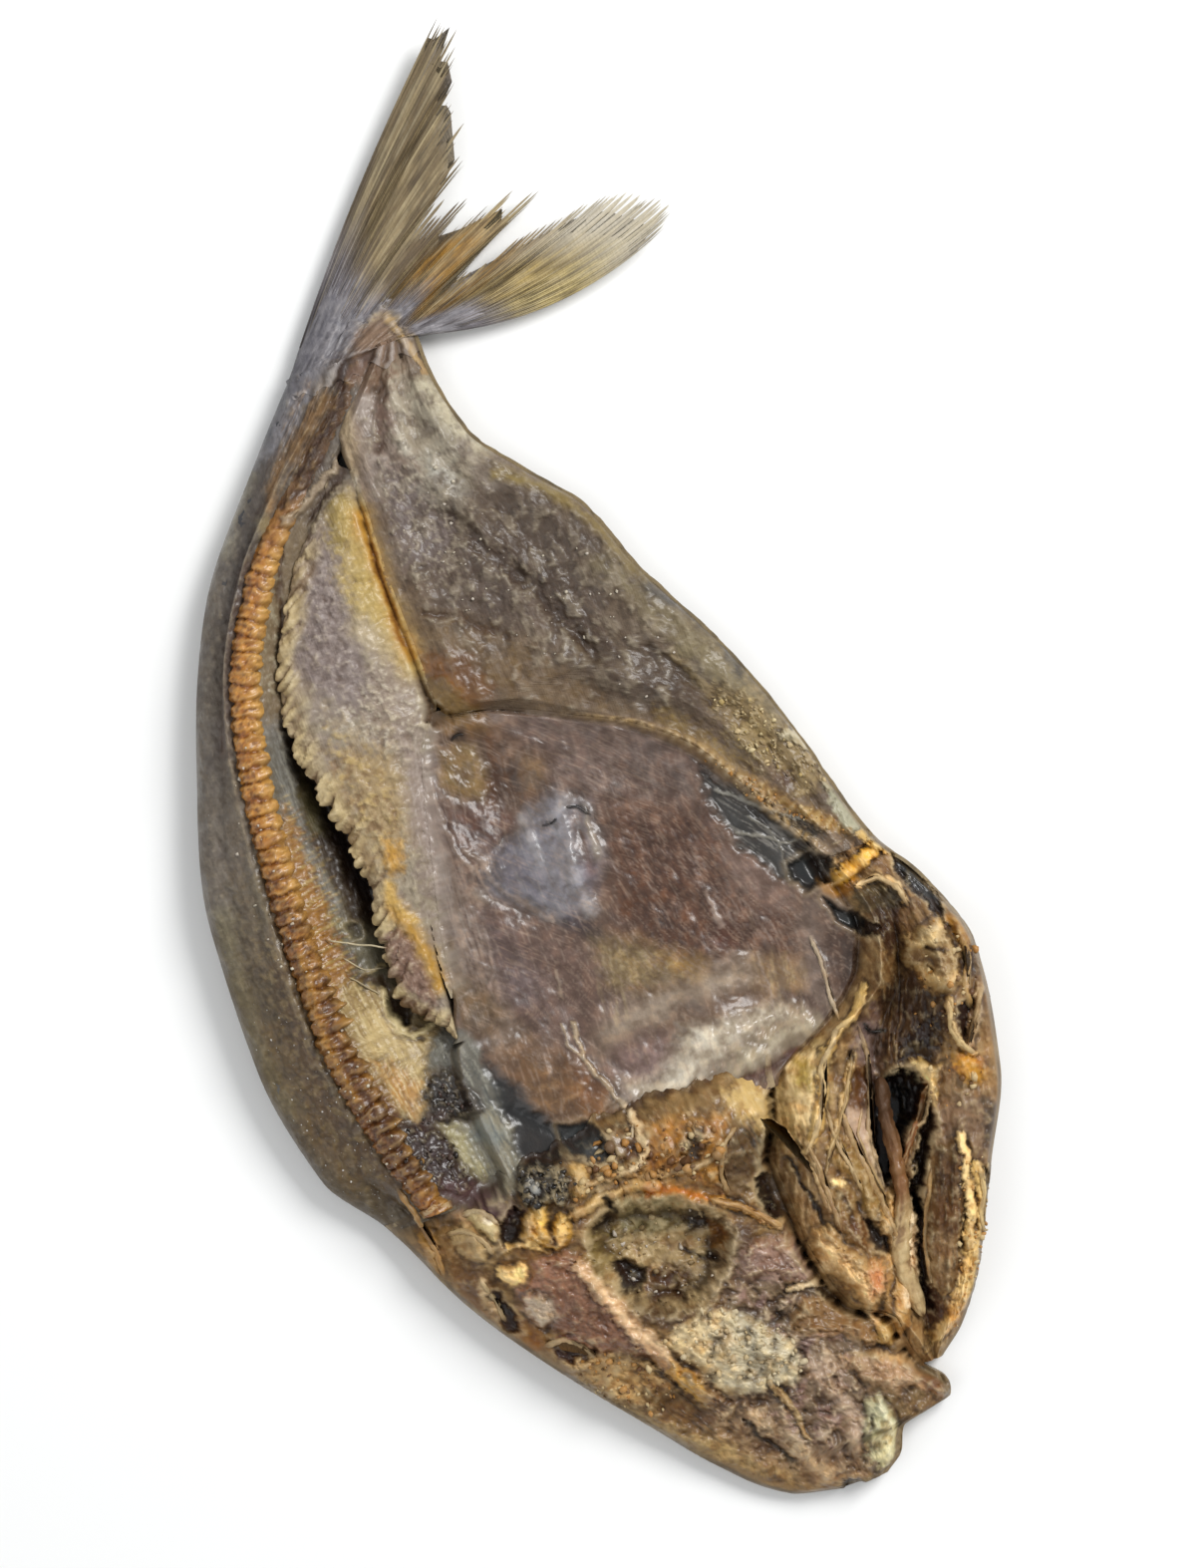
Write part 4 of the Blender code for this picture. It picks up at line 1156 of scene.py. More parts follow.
f = Sheet(sweep(*FLAP_ENDS, 0.4, flap_section, 120, 2), (160, 150, 134))
edges = curve(*[(x, flap_edge(x)) for x in np.linspace(*FLAP_ENDS, 80)])
inward = f.y - edges(f.x)
top_side = np.maximum(smooth_step(-4.5, -2.5, f.z - flap_z(f.x)), smooth_step(0.55, 0.65, f.v))
begun = smooth_step(-106, -84, f.x)
slant_a, slant_b = f.x * 0.82 + f.y * 0.57, f.y * 0.82 - f.x * 0.57
far, own = cells(slant_a + 0.7 * f.drift[0], slant_b / 3.6 + 0.4 * f.drift[1], 2.2, 80)
nub = np.sqrt(np.clip(1 - (far / 0.75) ** 2, 0, 1)) * (0.45 + 0.9 * own)
fringe = smooth_step(9 + 4 * noise(f.x, 0 * f.x, 12, 81), 2.5, inward) * top_side * begun
f.y -= (nub - 0.5) * 2.3 * bell(np.maximum(inward, 0), 0, 3.2) * top_side * begun
f.lift(fringe * (nub - 0.4), 1.1)
f.lift(top_side * rough(f.x, f.y, 7, 82), 0.9)
f.lift(top_side * rough(f.x, f.y, 3.2, 84, 3) * f.blotch(12, 184, -0.4, 0.4), 0.4)
f.colour(f.blotch(6, 85, -0.3, 0.4) * 0.5, 146, 132, 130)
f.work("""
patch 10 0 140,128,128 136,270 168,270 176,330 190,370 200,400 170,410 140,380 130,320
mottle 2.6 0.2 178,168,168 140,280 170,290 180,360 190,400 160,400 140,350
mottle 2.2 -0.12 104,90,88 136,290 170,300 186,380 160,400 136,350
patch 7 0 150,132,74 158,254 176,250 182,276 176,292 164,290
threads 1.4 0.2 110,92,46 160,256 176,290 158,254 176,250 184,280 176,296 164,290
patch 10 0.3 190,168,106,0.5 172,290 190,286 204,318 214,346 196,348 180,330 172,310
streak 9 0.3 190,176,150 186,348 204,366 216,384
patch 10 0 156,142,132 196,372 224,376 232,420 214,436 190,420
mottle 1.8 0.28 214,206,192 196,376 226,384 234,420 214,440 170,430 150,410 180,400
mottle 4 0.08 176,160,138 150,400 190,410 232,430 222,470 180,450 156,430
patch 12 0 172,150,112 168,440 200,436 220,452 224,500 206,530 190,500 174,470
mottle 4 0.32 206,180,118 160,420 190,440 220,480 216,530 196,510 172,470
mottle 3 -0.2 136,106,72 160,440 200,450 220,500 200,530 176,490
patch 5 0.4 200,154,70 204,502 216,506 218,526 206,526
patch 5 0 112,84,62 164,462 172,468 186,500 196,526 188,530 174,504
""")
f.colour(fringe * 0.5, 190, 168, 122)
# painted shade in the gaps between the nubs
f.colour(fringe * smooth_step(0.5, 0.15, nub) * 0.65, 118, 90, 62)
f.colour(fringe * smooth_step(0.55, 0.95, nub) * 0.6, 222, 204, 156)
f.work("""
patch 9 0.2 160,146,142 214,420 232,440 246,500 262,560 268,600 256,600 238,540 226,500
threads 1.3 0.2 190,180,176 228,440 256,600 220,430 236,430 250,500 268,590 250,580 226,500
plate 5 0.8 130,102,90,0.5 204,574 214,566 226,580 238,606 244,626 226,618 206,604
mottle 1.8 0.12 168,144,132 204,574 214,566 226,580 238,606 244,626 226,618 206,604
streak 6 0.8 198,152,56,0.6 212,554 226,572 238,594 245,612
streak 4 0.3 212,176,96 206,536 212,552 226,562
patch 4 0 104,76,52 204,616 226,620 244,632 230,640 210,630
""")
# painted shade: the flap's sides and underside, off its top, are painted near black
f.colour((1 - top_side) * 0.92, 44, 29, 18)
f.salt += 0.06
f.meet(np.maximum(f.border(high=3.0), f.border(first=5)) * top_side, 0.1)
f.work("""
streak 12 0.2 198,172,104,0.6 180,262 190,290 202,322 214,350 226,374
streak 5 0 198,148,58,0.7 184,262 192,288 203,320 212,344 224,368
streak 2 -0.3 150,98,36,0.7 192,286 203,318 209,338 219,360
""")
f.work(TAIL_ROOT)
f.grit_and_shade(top_side * (1.1 - f.wet), 2.8, 0.25, 0.12, 306)
f.grit_and_shade(top_side * (1.1 - f.wet), 1.3, 0.08, 0.1, 307)
# painted shade in the hollows and painted light on the crests
f.relief_shading(22, 0.6, 0.4, 0.3, (88, 62, 40), (226, 214, 182))
f.lay()
flap_look = flesh_finish("frayed_flesh", mottle=0.35, speckle=0.4, fibre=0.2, bump=0.4, gloss=0.8, fine=1300)
f.make("rib_flap_flesh", flap_look, "rib_flap", ["rib_flap"], base=1.6)


# ---------------------------------------------------------------- Belly lining
# The glossy membrane inside the belly, purple-brown and full of fine fibres, silvery where it is
# thick. It dips between the flap and the free fillet, and dark rib flesh shows through at its right.
middle = curve((42, 64), (55, 66), (66, 68), (80, 63), (90, 51), (102, 30), (112, 27), (125, 20), (146, 20),
               (160, 22), (172, 26), (180, 37), (190, 38), (197, 40))


def lining_section(x):
    low = float(lining_left(x))
    high = float(fillet_inner(x) if x < 43.5 else middle(x)) - 0.4
    high = high + 2.4 * float(smooth_step(43, 34, x) * smooth_step(-32, -20, x))
    at = np.linspace(0, 1, 40)
    bowl = 8.6 + 4 * bell(x, -33, 14) + 1.8 * bell(x, 101, 12)
    rise = 1.4 * bell(at, 0.55, 0.2)
    z = lerp(lerp(13.9, bowl + rise, smooth_step(-0.06, 0.3, at)), 12.9, smooth_step(0.68, 1.08, at))
    first = (low - 0.9 - 2.4 * float(smooth_step(44, 54, x)), z[0] - 1.5)
    return [first] + list(zip(lerp(low, high, at), z)) + [(high + 1.4, z[-1] - 1.6)]


f = Sheet(sweep(-35.5, 103.5, 0.45, lining_section, 250, 2), (124, 104, 94))
f.wet[:] = 0.75
f.hills([(79, -29, 17, 4.2), (20, -8, 12, 2.6), (96, 20, 14, 5), (78, 20, 9, 2.4), (8, -30, 9, 2.6),
         (56, 30, 12, 1.6), (60, -50, 9, 1.6), (98, -40, 9, 3)], 0.8)
f.lift(rough(f.x, f.y, 16, 100, 2), 0.7)
f.lift(rough(f.x, f.y, 6, 101, 1), 0.15)
f.fray = [0.3 * part for part in f.fray]
# painted light among these forms: a highlight down the silver flap's bright strip, with shade in the brown
# streak beside it and in the violet and dark marks below it; the white fold is a pale membrane whose two
# brightest streaks are painted highlights, with a painted shadow in the brown band above it and painted shade
# in the dark line under the lower rim
f.work("""
mottle 9 0.2 138,112,98 240,440 330,410 440,450 520,590 500,660 400,690 300,640
mottle 7 -0.1 96,74,64 240,440 330,410 440,450 520,590 500,660 400,690 300,640
patch 17 0 124,106,104 284,404 320,404 360,414 410,424 436,450 430,472 380,470 350,478 326,452 300,430
patch 19 0 112,92,86 356,424 436,436 446,480 400,486 360,480
patch 15 0 112,84,70 366,472 440,480 472,510 500,545 512,590 500,630 470,640 400,600 372,580
patch 15 0 98,68,52 374,500 430,494 446,540 444,586 400,592 376,560
patch 15 0.6 120,98,92 250,500 270,520 300,556 340,575 366,584 366,640 345,655 310,650 290,630 270,590 \
    256,550
patch 15 0.2 118,102,106 268,556 290,566 316,600 320,636 296,630 276,596
patch 13 0 112,92,66,0.8 254,598 264,612 300,640 312,652 282,657 262,640
patch 17 0.8 124,94,62,0.9 290,652 330,662 350,672 366,688 386,708 360,714 330,712 308,704 294,684
patch 15 0.3 146,98,50,0.9 344,670 360,680 374,700 356,704 344,690
mottle 3 0.1 160,128,92 300,656 350,674 370,704 320,706
patch 10 0 138,106,58 238,404 256,402 280,410 284,424 256,430 240,424
patch 14 0.3 166,152,146 212,420 234,424 250,500 264,546 276,590 290,628 300,648 286,652 262,610 \
    240,560 222,520
threads 1.2 0 168,161,159 228,440 280,620 216,440 234,438 250,500 280,590 300,648 262,610 224,520
threads 1.3 0 104,84,82 228,440 280,620 222,440 236,438 254,500 284,590 290,640 258,600 230,520
patch 7 0.3 172,158,132 240,576 252,578 256,600 255,622 250,636 244,630 242,604
patch 9 0 116,94,66 258,604 276,612 292,630 288,642 262,642 255,624
streak 3 -0.6 100,78,76 235,430 240,466 252,504
cord 2 0.2 166,154,150 236,460 246,490 256,512 270,530
plate 11 1.4 146,124,82,0.85 240,438 256,432 270,434 280,448 283,464 276,476 258,474 244,462
mottle 6 0.2 122,92,58 242,448 262,450 274,470 258,478 246,468
streak 4 -0.3 118,76,36 280,430 286,452 282,474
plate 6 0.8 156,138,132 278,406 290,404 296,416 284,422
patch 15 -1.4 88,64,46 284,430 300,438 312,436 318,452 322,466 300,474 286,474 281,452
patch 10 0.8 150,124,92 306,442 318,444 320,462 308,464
patch 11 0.5 150,124,108 286,424 298,428 302,440 290,440
patch 13 0 98,68,58 246,480 284,476 300,488 290,502 262,514 252,500
streak 3 0 62,48,40,0.9 253,430 260,426
threads 1.0 0 144,132,130 310,420 350,446 290,408 340,408 400,430 430,460 380,466 340,470 320,440
mottle 3 0 138,122,118 330,410 430,430 446,480 400,490 350,470
plate 14 1.5 146,142,148,0.95 300,492 306,480 326,467 344,468 356,480 363,500 367,516 366,530 357,546 \
    350,557 338,567 320,562 296,552 276,540 270,526 286,512
glaze 11 0 96,90,104 276,504 296,500 312,520 320,545 296,540 280,526
streak 4 0.5 166,162,164,0.95 303,488 311,505 318,522
streak 5 0.9 178,176,182,0.95 334,476 337,500 342,522 350,546 354,556
streak 5 -0.6 128,102,88,0.8 343,488 350,508 356,526
streak 3 0.5 164,152,136,0.9 350,482 358,502 362,518
glaze 10 0 128,112,130 350,520 364,520 362,540 352,546
streak 8 0 82,72,80 338,562 350,568 360,576
cord 2 0.2 158,144,138 262,512 275,522 290,540 306,552 328,564
cord 1.8 0.2 156,142,136 270,524 276,534 284,547
patch 8 0.5 196,188,182 268,541 277,541 280,548 270,548
threads 1.2 0 146,144,146 310,480 340,560 300,490 326,470 350,480 364,520 350,556 320,560 290,540
mottle 2.2 0.1 142,112,96 366,474 440,482 500,546 512,590 470,630 400,590
mottle 4 -0.1 82,52,38 366,474 440,482 500,546 512,590 470,630 400,590
threads 1.2 0 72,46,34 390,480 440,590 368,490 430,486 470,530 500,590 450,590 380,570
threads 1.2 0 151,134,129 440,470 520,600 440,480 474,512 524,580 520,630 480,620 452,560
mottle 5 0 112,70,38 374,520 400,530 440,560 440,592 400,592 374,560
patch 10 0.3 140,118,112 455,508 480,520 504,552 480,556 458,536
cord 2.5 0.2 164,148,142 441,542 446,556 450,568
patch 9 -0.5 88,44,24 444,570 462,570 462,582 446,584
plate 6 0.6 152,136,128 446,594 460,584 472,586 475,620 452,616
patch 12 0 164,138,104 472,592 512,592 516,630 484,632
threads 1.3 0 204,184,146 486,580 496,632 472,590 512,592 518,632 480,634
patch 12 0 146,132,128 512,562 530,580 536,632 520,636 512,600
cord 1.2 0.3 184,170,156 518,575 526,592 530,610 537,633
patch 11 -1.0 82,58,46 530,566 552,572 570,578 566,600 552,622 540,632 532,610 526,584
glaze 10 0 62,58,56 538,578 550,582 548,602 538,598
patch 15 0.4 156,138,96 360,580 384,578 410,590 432,594 440,604 420,612 390,612 372,608
patch 13 0.2 180,144,76 410,592 434,593 436,604 420,607
mottle 2 0.3 206,192,152 366,584 420,594 430,608 384,610
streak 3 -0.4 130,100,62 386,613 400,615 420,611
threads 1.6 0 184,170,140 370,580 378,650 360,580 392,590 396,640 370,650 362,620
streak 12 0.5 176,164,152,0.8 372,650 392,634 420,620 448,610 466,602
patch 13 -0.4 128,106,90,0.8 404,652 420,632 450,620 480,618 502,622 478,634 446,640 424,650 412,664
patch 13 0 142,120,120,0.8 370,658 390,648 414,650 416,668 404,684 384,690 370,678
patch 12 1.8 222,217,204,0.98 424,646 448,640 478,632 500,626 510,634 482,644 460,656 444,672 434,690 \
    412,699 390,704 372,697 380,684 404,680 418,664
streak 5 0.6 230,226,214,0.98 428,652 448,644 474,638 496,630
streak 5 0.5 224,220,210,0.98 430,658 424,676 408,690
patch 12 0.9 160,150,130,0.9 462,656 484,644 510,632 536,628 532,642 508,660 482,674 466,690 446,702 \
    438,692 448,676
streak 4 0.4 196,188,168,0.9 470,664 494,650 516,640
streak 5 0 104,84,76 500,618 524,626 532,636
streak 6 0.5 150,138,134,0.9 376,690 392,700 416,700 440,690
streak 4 -1.0 92,56,48,0.8 380,708 410,706 438,703 458,689 482,675 512,658 534,644
cord 1.4 0.15 152,138,136 276,574 283,592 282,614
cord 1.4 0.15 152,138,128 330,600 334,620
cord 1.2 0.1 160,146,136 478,586 484,606 490,628
cord 2.0 0.7 200,184,158 342,638 350,664 366,684 380,702 392,722 398,732
cord 1.6 0.4 180,166,146 334,640 340,656 350,664
streak 1.2 0.1 14,12,12,0.9 338,479 346,480 354,484
streak 0.8 0.1 30,26,26,0.9 322,492 328,491 331,488
""")
hair = f.streaks([(300, 420), (420, 470), (500, 560), (520, 640)], 0.7, 102, 16)
f.colour(smooth_step(0.2, 0.8, hair) * 0.4, 178, 160, 150)
hair = f.streaks([(236, 440), (262, 540), (310, 650), (380, 700)], 0.8, 103, 14)
f.colour(smooth_step(0.3, 0.9, hair) * 0.35, 184, 170, 164)
f.tone(f.blotch(9, 104, -0.4, 0.5), 0.78, 0.74, 0.7)
veins = rough(f.x, f.y, 4.5, 105, 4)
f.tone(smooth_step(0.0, 0.6, veins), 0.74, 0.7, 0.66)
f.tone(smooth_step(0.0, -0.6, veins), 1.3, 1.26, 1.2)
silver = f.area([(300, 492), (326, 467), (356, 480), (367, 516), (350, 557), (320, 562), (276, 540)], 12)
pearly = f.area([(424, 640), (510, 620), (530, 640), (440, 700), (380, 704)], 14)
f.tone(1 - 0.8 * silver - 0.8 * pearly, 0.8, 0.77, 0.74)
f.tone(silver, 0.8, 0.85, 0.98)
f.salt[:] = 0.03
f.work(CORNER)
f.work(HEAD_END)
borders = [f.border(low=6) * smooth_step(46, 42, f.x), f.border(high=4) * (f.x < 58), f.border(first=6)]
f.meet(np.maximum.reduce(borders), -0.12)
f.meet(f.border(low=4.0) * (f.x >= 58), -0.15)
tucked = (f.y.reshape(f.grid) - f.y.reshape(f.grid)[:, :1]).ravel()
f.lift(smooth_step(0.9, 0.0, tucked), -0.6)
# painted shade in the hollows and painted light on the crests
f.relief_shading(36, 0.9, 0.22, 0.15, (58, 38, 30), (208, 200, 190))
f.lay()
lining_look = flesh_finish("glossy_lining", mottle=0.45, speckle=0.35, fibre=0.4, bump=0.18, fine=1600)
f.make("belly_membrane", lining_look, "belly_lining", ["belly_lining"], base=1.6)


# ---------------------------------------------------------------- Right head half and gill prong
# Long bony strips of the gill cover and jaw, cream and tan with rough light edges, torn apart along
# the fish. Dark hollows lie between them, and one narrow gill bone stands on its own in the cleft.
crest_y = curve((44, 68), (66, 74), (85, 69), (96, 51), (110, 37), (146, 31), (172, 36), (188, 42),
                (196, 43.5))
cleft_y = curve((44, 71), (70, 79), (86, 75), (106, 60), (145, 53), (170, 45), (186, 45.5), (196, 44.5))
strip_y = curve((44, 74), (66, 85), (85, 87), (111, 85), (145, 70), (170, 58), (188, 50.5), (196, 45.5))
crest_top = curve((44, 13), (60, 17), (82, 23), (100, 18), (120, 21), (155, 24), (172, 20), (196, 7))
cleft_top = curve((44, 11), (82, 13), (104, 7), (145, 6), (170, 6), (196, 5))
strip_top = curve((44, 12), (66, 17), (82, 27), (111, 28), (145, 29), (170, 23), (196, 7))


def gill_section(x):
    kr, low = stretch(right, x), float(middle(x)) + 0.2
    edge, top = float(right(x)), float(strip_top(x))
    outer = max(float(strip_y(x)) + 0.5, edge - 2.2 * kr)
    ys, zs = zip((low - 0.8, 2.5), (low - 0.6, min(8.0, float(crest_top(x)) - 3)),
                 (float(crest_y(x)), float(crest_top(x))), (float(cleft_y(x)), float(cleft_top(x))),
                 (float(strip_y(x)), top), (outer, top * 0.62 + 2),
                 (edge - 0.4 * kr, top * 0.3 + 3), (edge - 0.2 * kr, 4.0))
    return list(zip(np.maximum.accumulate(ys), zs))


f = Sheet(sweep(42.5, 196.5, 0.45, gill_section, 210, 3), (164, 138, 100))
f.bold = 1.35
f.wet[:] = 0.35
f.z -= 0.45 * np.maximum(f.z - 12, 0) * smooth_step(100, 112, f.x)
GRAIN = [(470, 480), (560, 560), (596, 640), (612, 740), (612, 880)]
fibre_a = f.streaks(GRAIN, 4.0, 130, 5)
fibre_b = f.streaks(GRAIN, 1.6, 131, 7)
near_edge = right(f.x) - f.y
side = smooth_step(0.5, 4, near_edge)
f.lift(side * fibre_a, 0.5)
f.lift(side * fibre_b, 0.25)
f.lift(side * rough(f.x, f.y, 6, 132, 4), 0.8)
f.colour(smooth_step(0.1, 0.8, fibre_a) * 0.4, 176, 148, 106)
f.colour(smooth_step(0.0, -0.7, fibre_a) * 0.4, 122, 92, 60)

# forms of the middle and right of the head, on whichever half they lie
# the pale streak along the finger of gristle is a painted highlight
MIDDLE_FORMS = """
patch 6 0 188,166,120 454,690 470,670 500,660 528,650 534,690 520,730 500,730 470,710
patch 5 0.5 206,188,146,0.6 498,670 518,658 528,668 526,700 518,722 506,710 498,690
patch 4 -0.3 176,154,92,0.7 504,664 516,666 518,688 508,690
patch 5 0 142,124,118,0.6 550,640 564,624 575,618 573,650 568,680 563,702 556,690 548,662
patch 5 0 110,80,50 566,612 584,602 600,605 614,620 613,642 600,650 592,668 582,684 570,700 566,680 \
    570,640
threads 1.5 0.3 148,116,74 586,604 580,690 566,612 590,603 614,622 600,664 572,690
threads 1.4 -0.2 70,42,24 586,604 580,690 566,612 590,603 614,622 600,664 572,690
patch 5 -1.2 74,36,18,0.8 592,640 608,632 613,650 606,668 590,668 582,676 584,656
pit 7 7.5 11,8,7,0.6 585,672 597,676 603,690 599,708 590,718 585,732 580,744 580,757 574,761 567,752 \
    564,730 563,704 568,688 576,676
glaze 4 0 84,40,20 566,734 582,734 580,756 572,758
bone 4 1.4 138,88,42 603,684 598,706 589,730 583,756
streak 2.5 0.4 184,130,66 590,730 585,745 584,758
pit 4 5 40,25,16 604,692 608,712 606,730 601,746 599,766 601,782 594,778 590,762 593,742 600,714
streak 3.5 -3.5 46,27,19 597,768 599,800 601,826 606,850
patch 4 -1.5 106,68,50 599,836 607,832 616,840 618,852 609,864 601,852
plate 4 2.0 206,178,122 591,667 600,664 607,668 615,666 612,690 609,700 605,690 601,678
streak 2 0.6 230,208,156 593,668 602,678 607,694
patch 5 0.5 152,124,90 610,668 624,668 628,690 616,702 610,694
bone 3 1.8 204,176,124 616,620 618,640 625,652 636,659
pit 4 2.2 84,52,38 622,624 640,616 638,640 634,652 628,650 622,638
bone 4 1.2 168,138,102 642,610 637,630 633,652
plate 6 1.0 192,144,72 620,658 632,656 643,664 650,676 640,682 628,680 622,670
patch 7 0.3 144,120,96 604,700 616,694 634,686 650,690 657,702 658,730 650,742 640,742 632,726 622,722 \
    612,730 606,716
patch 5 -0.6 98,80,62 644,692 658,700 660,740 650,738 646,716
plate 7 1.2 128,96,60 606,728 620,722 631,724 634,745 632,770 630,800 628,822 622,840 612,836 604,820 \
    600,796 602,764 606,744
glaze 6 0 136,84,36 604,764 628,764 628,790 604,790
patch 6 0 156,128,92 602,794 626,794 624,822 612,832 604,816
threads 1.5 0.3 92,64,38 616,724 614,836 604,730 632,726 630,820 604,816
bone 4 1.6 208,184,134 627,722 632,745 634,775 633,800
plate 5 2.0 202,174,120 632,776 641,790 647,812 642,832 636,848 624,864 612,874 604,882 605,868 \
    618,850 624,830 628,805
threads 1.5 0.4 228,208,162 636,780 622,862 630,776 648,800 640,846 608,878 618,850 628,810
glaze 5 0 198,142,72 616,846 634,846 632,862 618,866
bone 4 1.5 198,174,120 638,742 642,762 641,780 645,794
streak 2 -1.0 62,46,32 645,748 646,772 648,792
bone 3 1.2 184,162,120 648,745 651,775 650,802
patch 5 0 182,162,142 540,696 549,690 563,704 567,730 571,757 556,742 544,724 538,708
patch 4 -0.4 128,84,44 543,674 561,670 566,700 556,706 544,696
bone 4 1.6 196,168,112 556,610 548,634 536,642 532,656 524,668 526,690 522,715 513,732
cord 3 1.0 176,148,100 549,660 545,680 540,704 530,730
pit 3 1.0 88,66,42 543,657 551,657 549,668 544,668
plate 6 1.6 162,132,82 536,716 548,730 560,750 574,774 585,800 580,807 571,796 560,780 552,764 544,752 \
    532,738
pit 3 2.2 92,86,78 556,781 564,784 572,796 578,812 568,808 560,796
plate 6 1.8 158,128,86 530,762 546,758 552,770 557,796 561,806 544,800 534,784
patch 2.5 0.6 228,210,160 532,752 540,752 541,760 534,760
streak 2 -0.5 112,84,54 536,764 546,776 550,790
cord 3 0.8 160,132,92 510,722 522,746 532,776
streak 2 -0.8 60,40,24 500,738 518,768 531,793
plate 7 2.6 188,158,114,0.5 518,790 534,785 541,800 552,806 566,812 574,822 577,836 571,844 567,853 \
    562,859 552,842 538,830 524,824 516,808
patch 5 0.4 198,140,102 560,814 573,822 573,836 562,836 556,824
streak 3 0.5 216,192,148 524,802 544,818 560,838
plate 6 1.8 190,154,104 572,765 580,760 589,762 592,778 594,800 594,832 592,857 586,869 574,877 \
    566,875 566,862 572,850 575,830 572,800 570,784
streak 3 0.6 212,200,174 589,778 591,806 590,846
glaze 4 0 198,168,104 568,860 582,862 578,874 568,874
streak 2 -0.6 120,90,58 577,790 580,830 576,856
streak 1.5 0 22,18,18,0.9 557,641 562,646 571,644
patch 5 0 130,84,50 540,786 556,784 558,800 548,798
glaze 5 0 150,118,80 646,560 656,640 656,700 646,690 640,600
"""
f.work(MIDDLE_FORMS)
f.work(CORNER)
f.deepen(side, 0.85, 1.2)
f.tone(side, 0.92, 0.92, 1.05)
f.tone(side * f.area([(560, 540), (640, 540), (650, 640), (600, 660), (560, 600)], 12), 0.62, 0.56, 0.46)
f.tone(side * f.blotch(5, 311, 0.0, 0.6), 0.72, 0.62, 0.5)
f.tone(side * f.blotch(7, 312, 0.0, 0.6), 1.18, 1.12, 1.05)
f.shreds(side, 7, 0.6, 0.0, 309, 0.12)
f.grit_and_shade(side, 2.6, 0.15, 0.06, 310)
f.crumbs(f.line([(646, 700), (642, 800), (618, 878)], 8) * side, 2.4, 0.5, 137, 0.4, 0.2)
f.colour(smooth_step(3, 0.5, near_edge) * 0.6, 128, 104, 74)
f.salt += 0.04
f.meet(np.maximum(f.border(first=4), f.border(low=3.0) * smooth_step(102, 96, f.x)), 0.1)
# painted shade in the hollows and painted light on the crests, at two sizes
f.relief_shading(50, 1.5, 0.55, 0.35, (44, 26, 14), (228, 208, 166))
f.relief_shading(8, 0.4, 0.15, 0.15, (70, 42, 20), (236, 218, 178))
f.lay()
# painted shade: the deep cavity between the head halves darkened further
f.tone(f.area([(562, 680), (592, 684), (594, 744), (568, 750)], 6), 0.4, 0.36, 0.34)
f.sides(near_edge)
gill_look = flesh_finish("gill_bone", mottle=0.3, speckle=0.25, fibre=0.2, bump=0.38, fine=1400)
f.make("head_right_half", gill_look, "head_right", ["head_right"], base=0.0)


PRONG_ENDS, PRONG_ROWS, PRONG_COLUMNS = (112, 183), 150, 41


def prong_ring(x):
    at = (x - PRONG_ENDS[0]) / (PRONG_ENDS[1] - PRONG_ENDS[0])
    wide, high = lerp(3.6, 1.2, at), lerp(5.4, 2.0, at)
    ring = np.linspace(0, 2 * np.pi, PRONG_COLUMNS)
    ease = math.sqrt(max(0.0, 1 - abs(2 * at - 1) ** 12))
    y = cleft_y(x) + 0.4 + ease * wide * np.cos(ring)
    return y, cleft_top(x) + 0.7 + high * (1 + ease * np.sin(ring))


xs = np.linspace(*PRONG_ENDS, PRONG_ROWS)
ys, zs = np.array([prong_ring(x) for x in xs]).transpose(1, 0, 2)
f = Sheet((np.repeat(xs[:, None], PRONG_COLUMNS, 1), ys, zs), (204, 178, 132))
ring_turn = 2 * np.pi * f.v
bumpy = rough(f.x * 0.5, 6 * np.cos(ring_turn) + 40, 5, 140) + rough(f.x, 6 * np.sin(ring_turn), 4, 141)
middle_y = cleft_y(f.x) + 0.4
swell = 0.16 * bumpy + 0.9 * smooth_step(0.5, 0.75, f.u) - 0.3 * smooth_step(0.5, 0.2, f.u)
f.y += (f.y - middle_y) * swell
f.z -= 2.5 * smooth_step(0.5, 0.1, f.u)
f.z += 0.5 * bumpy * np.maximum(np.sin(ring_turn), 0)
f.colour(smooth_step(0.1, 0.9, bumpy) * 0.6, 222, 202, 158)
f.colour(smooth_step(0.0, -0.8, bumpy) * 0.7, 124, 88, 54)
f.colour(smooth_step(0.62, 0.45, f.u) * 0.85, 128, 80, 40)
f.colour(smooth_step(0.4, 0.1, f.u) * 0.8, 60, 38, 22)
f.salt += 0.1
f.make("gill_prong_bone", gill_look, "gill_prong", ["gill_prong"], tube=True)


# ---------------------------------------------------------------- Left head half
# The half of the skull that kept the snout: tan bone and gristle cut open, a round hollow with salt
# in it, a pink bone plate, a crumbly front of torn flesh over the belly, and the palate and lips.
snout_right = curve((197, 40), (204, 45), (208, 44), (211.5, 28), (219, 24), (223, 18))
skull_z = curve((96, 14), (101.5, 15), (106, 20), (118, 23), (150, 23), (175, 19), (200, 14), (216, 11),
                (223, 8))


def skull_section(x):
    wide_y, high = float(left(x)), float(middle(x) if x < 197 else snout_right(x)) - 0.2
    kl, top = stretch(left, x), float(skull_z(x))
    roll = min(9.0, 0.3 * (high - wide_y) / kl)
    low = wide_y + roll * kl
    at = np.linspace(0.06, 1, 40)
    z = np.maximum(6, top * (1 - 0.36 * (1 - at) ** 3 - 0.42 * at ** 7))
    over = arc(wide_y, 1, kl, roll, 0.9 * z[0] + 0.2, -0.15, np.linspace(-48, 70, 14))
    return over + list(zip(lerp(low, high, at), z)) + [(high + 1.5, z[-1] - 0.8), (high + 1.4, 3.0)]


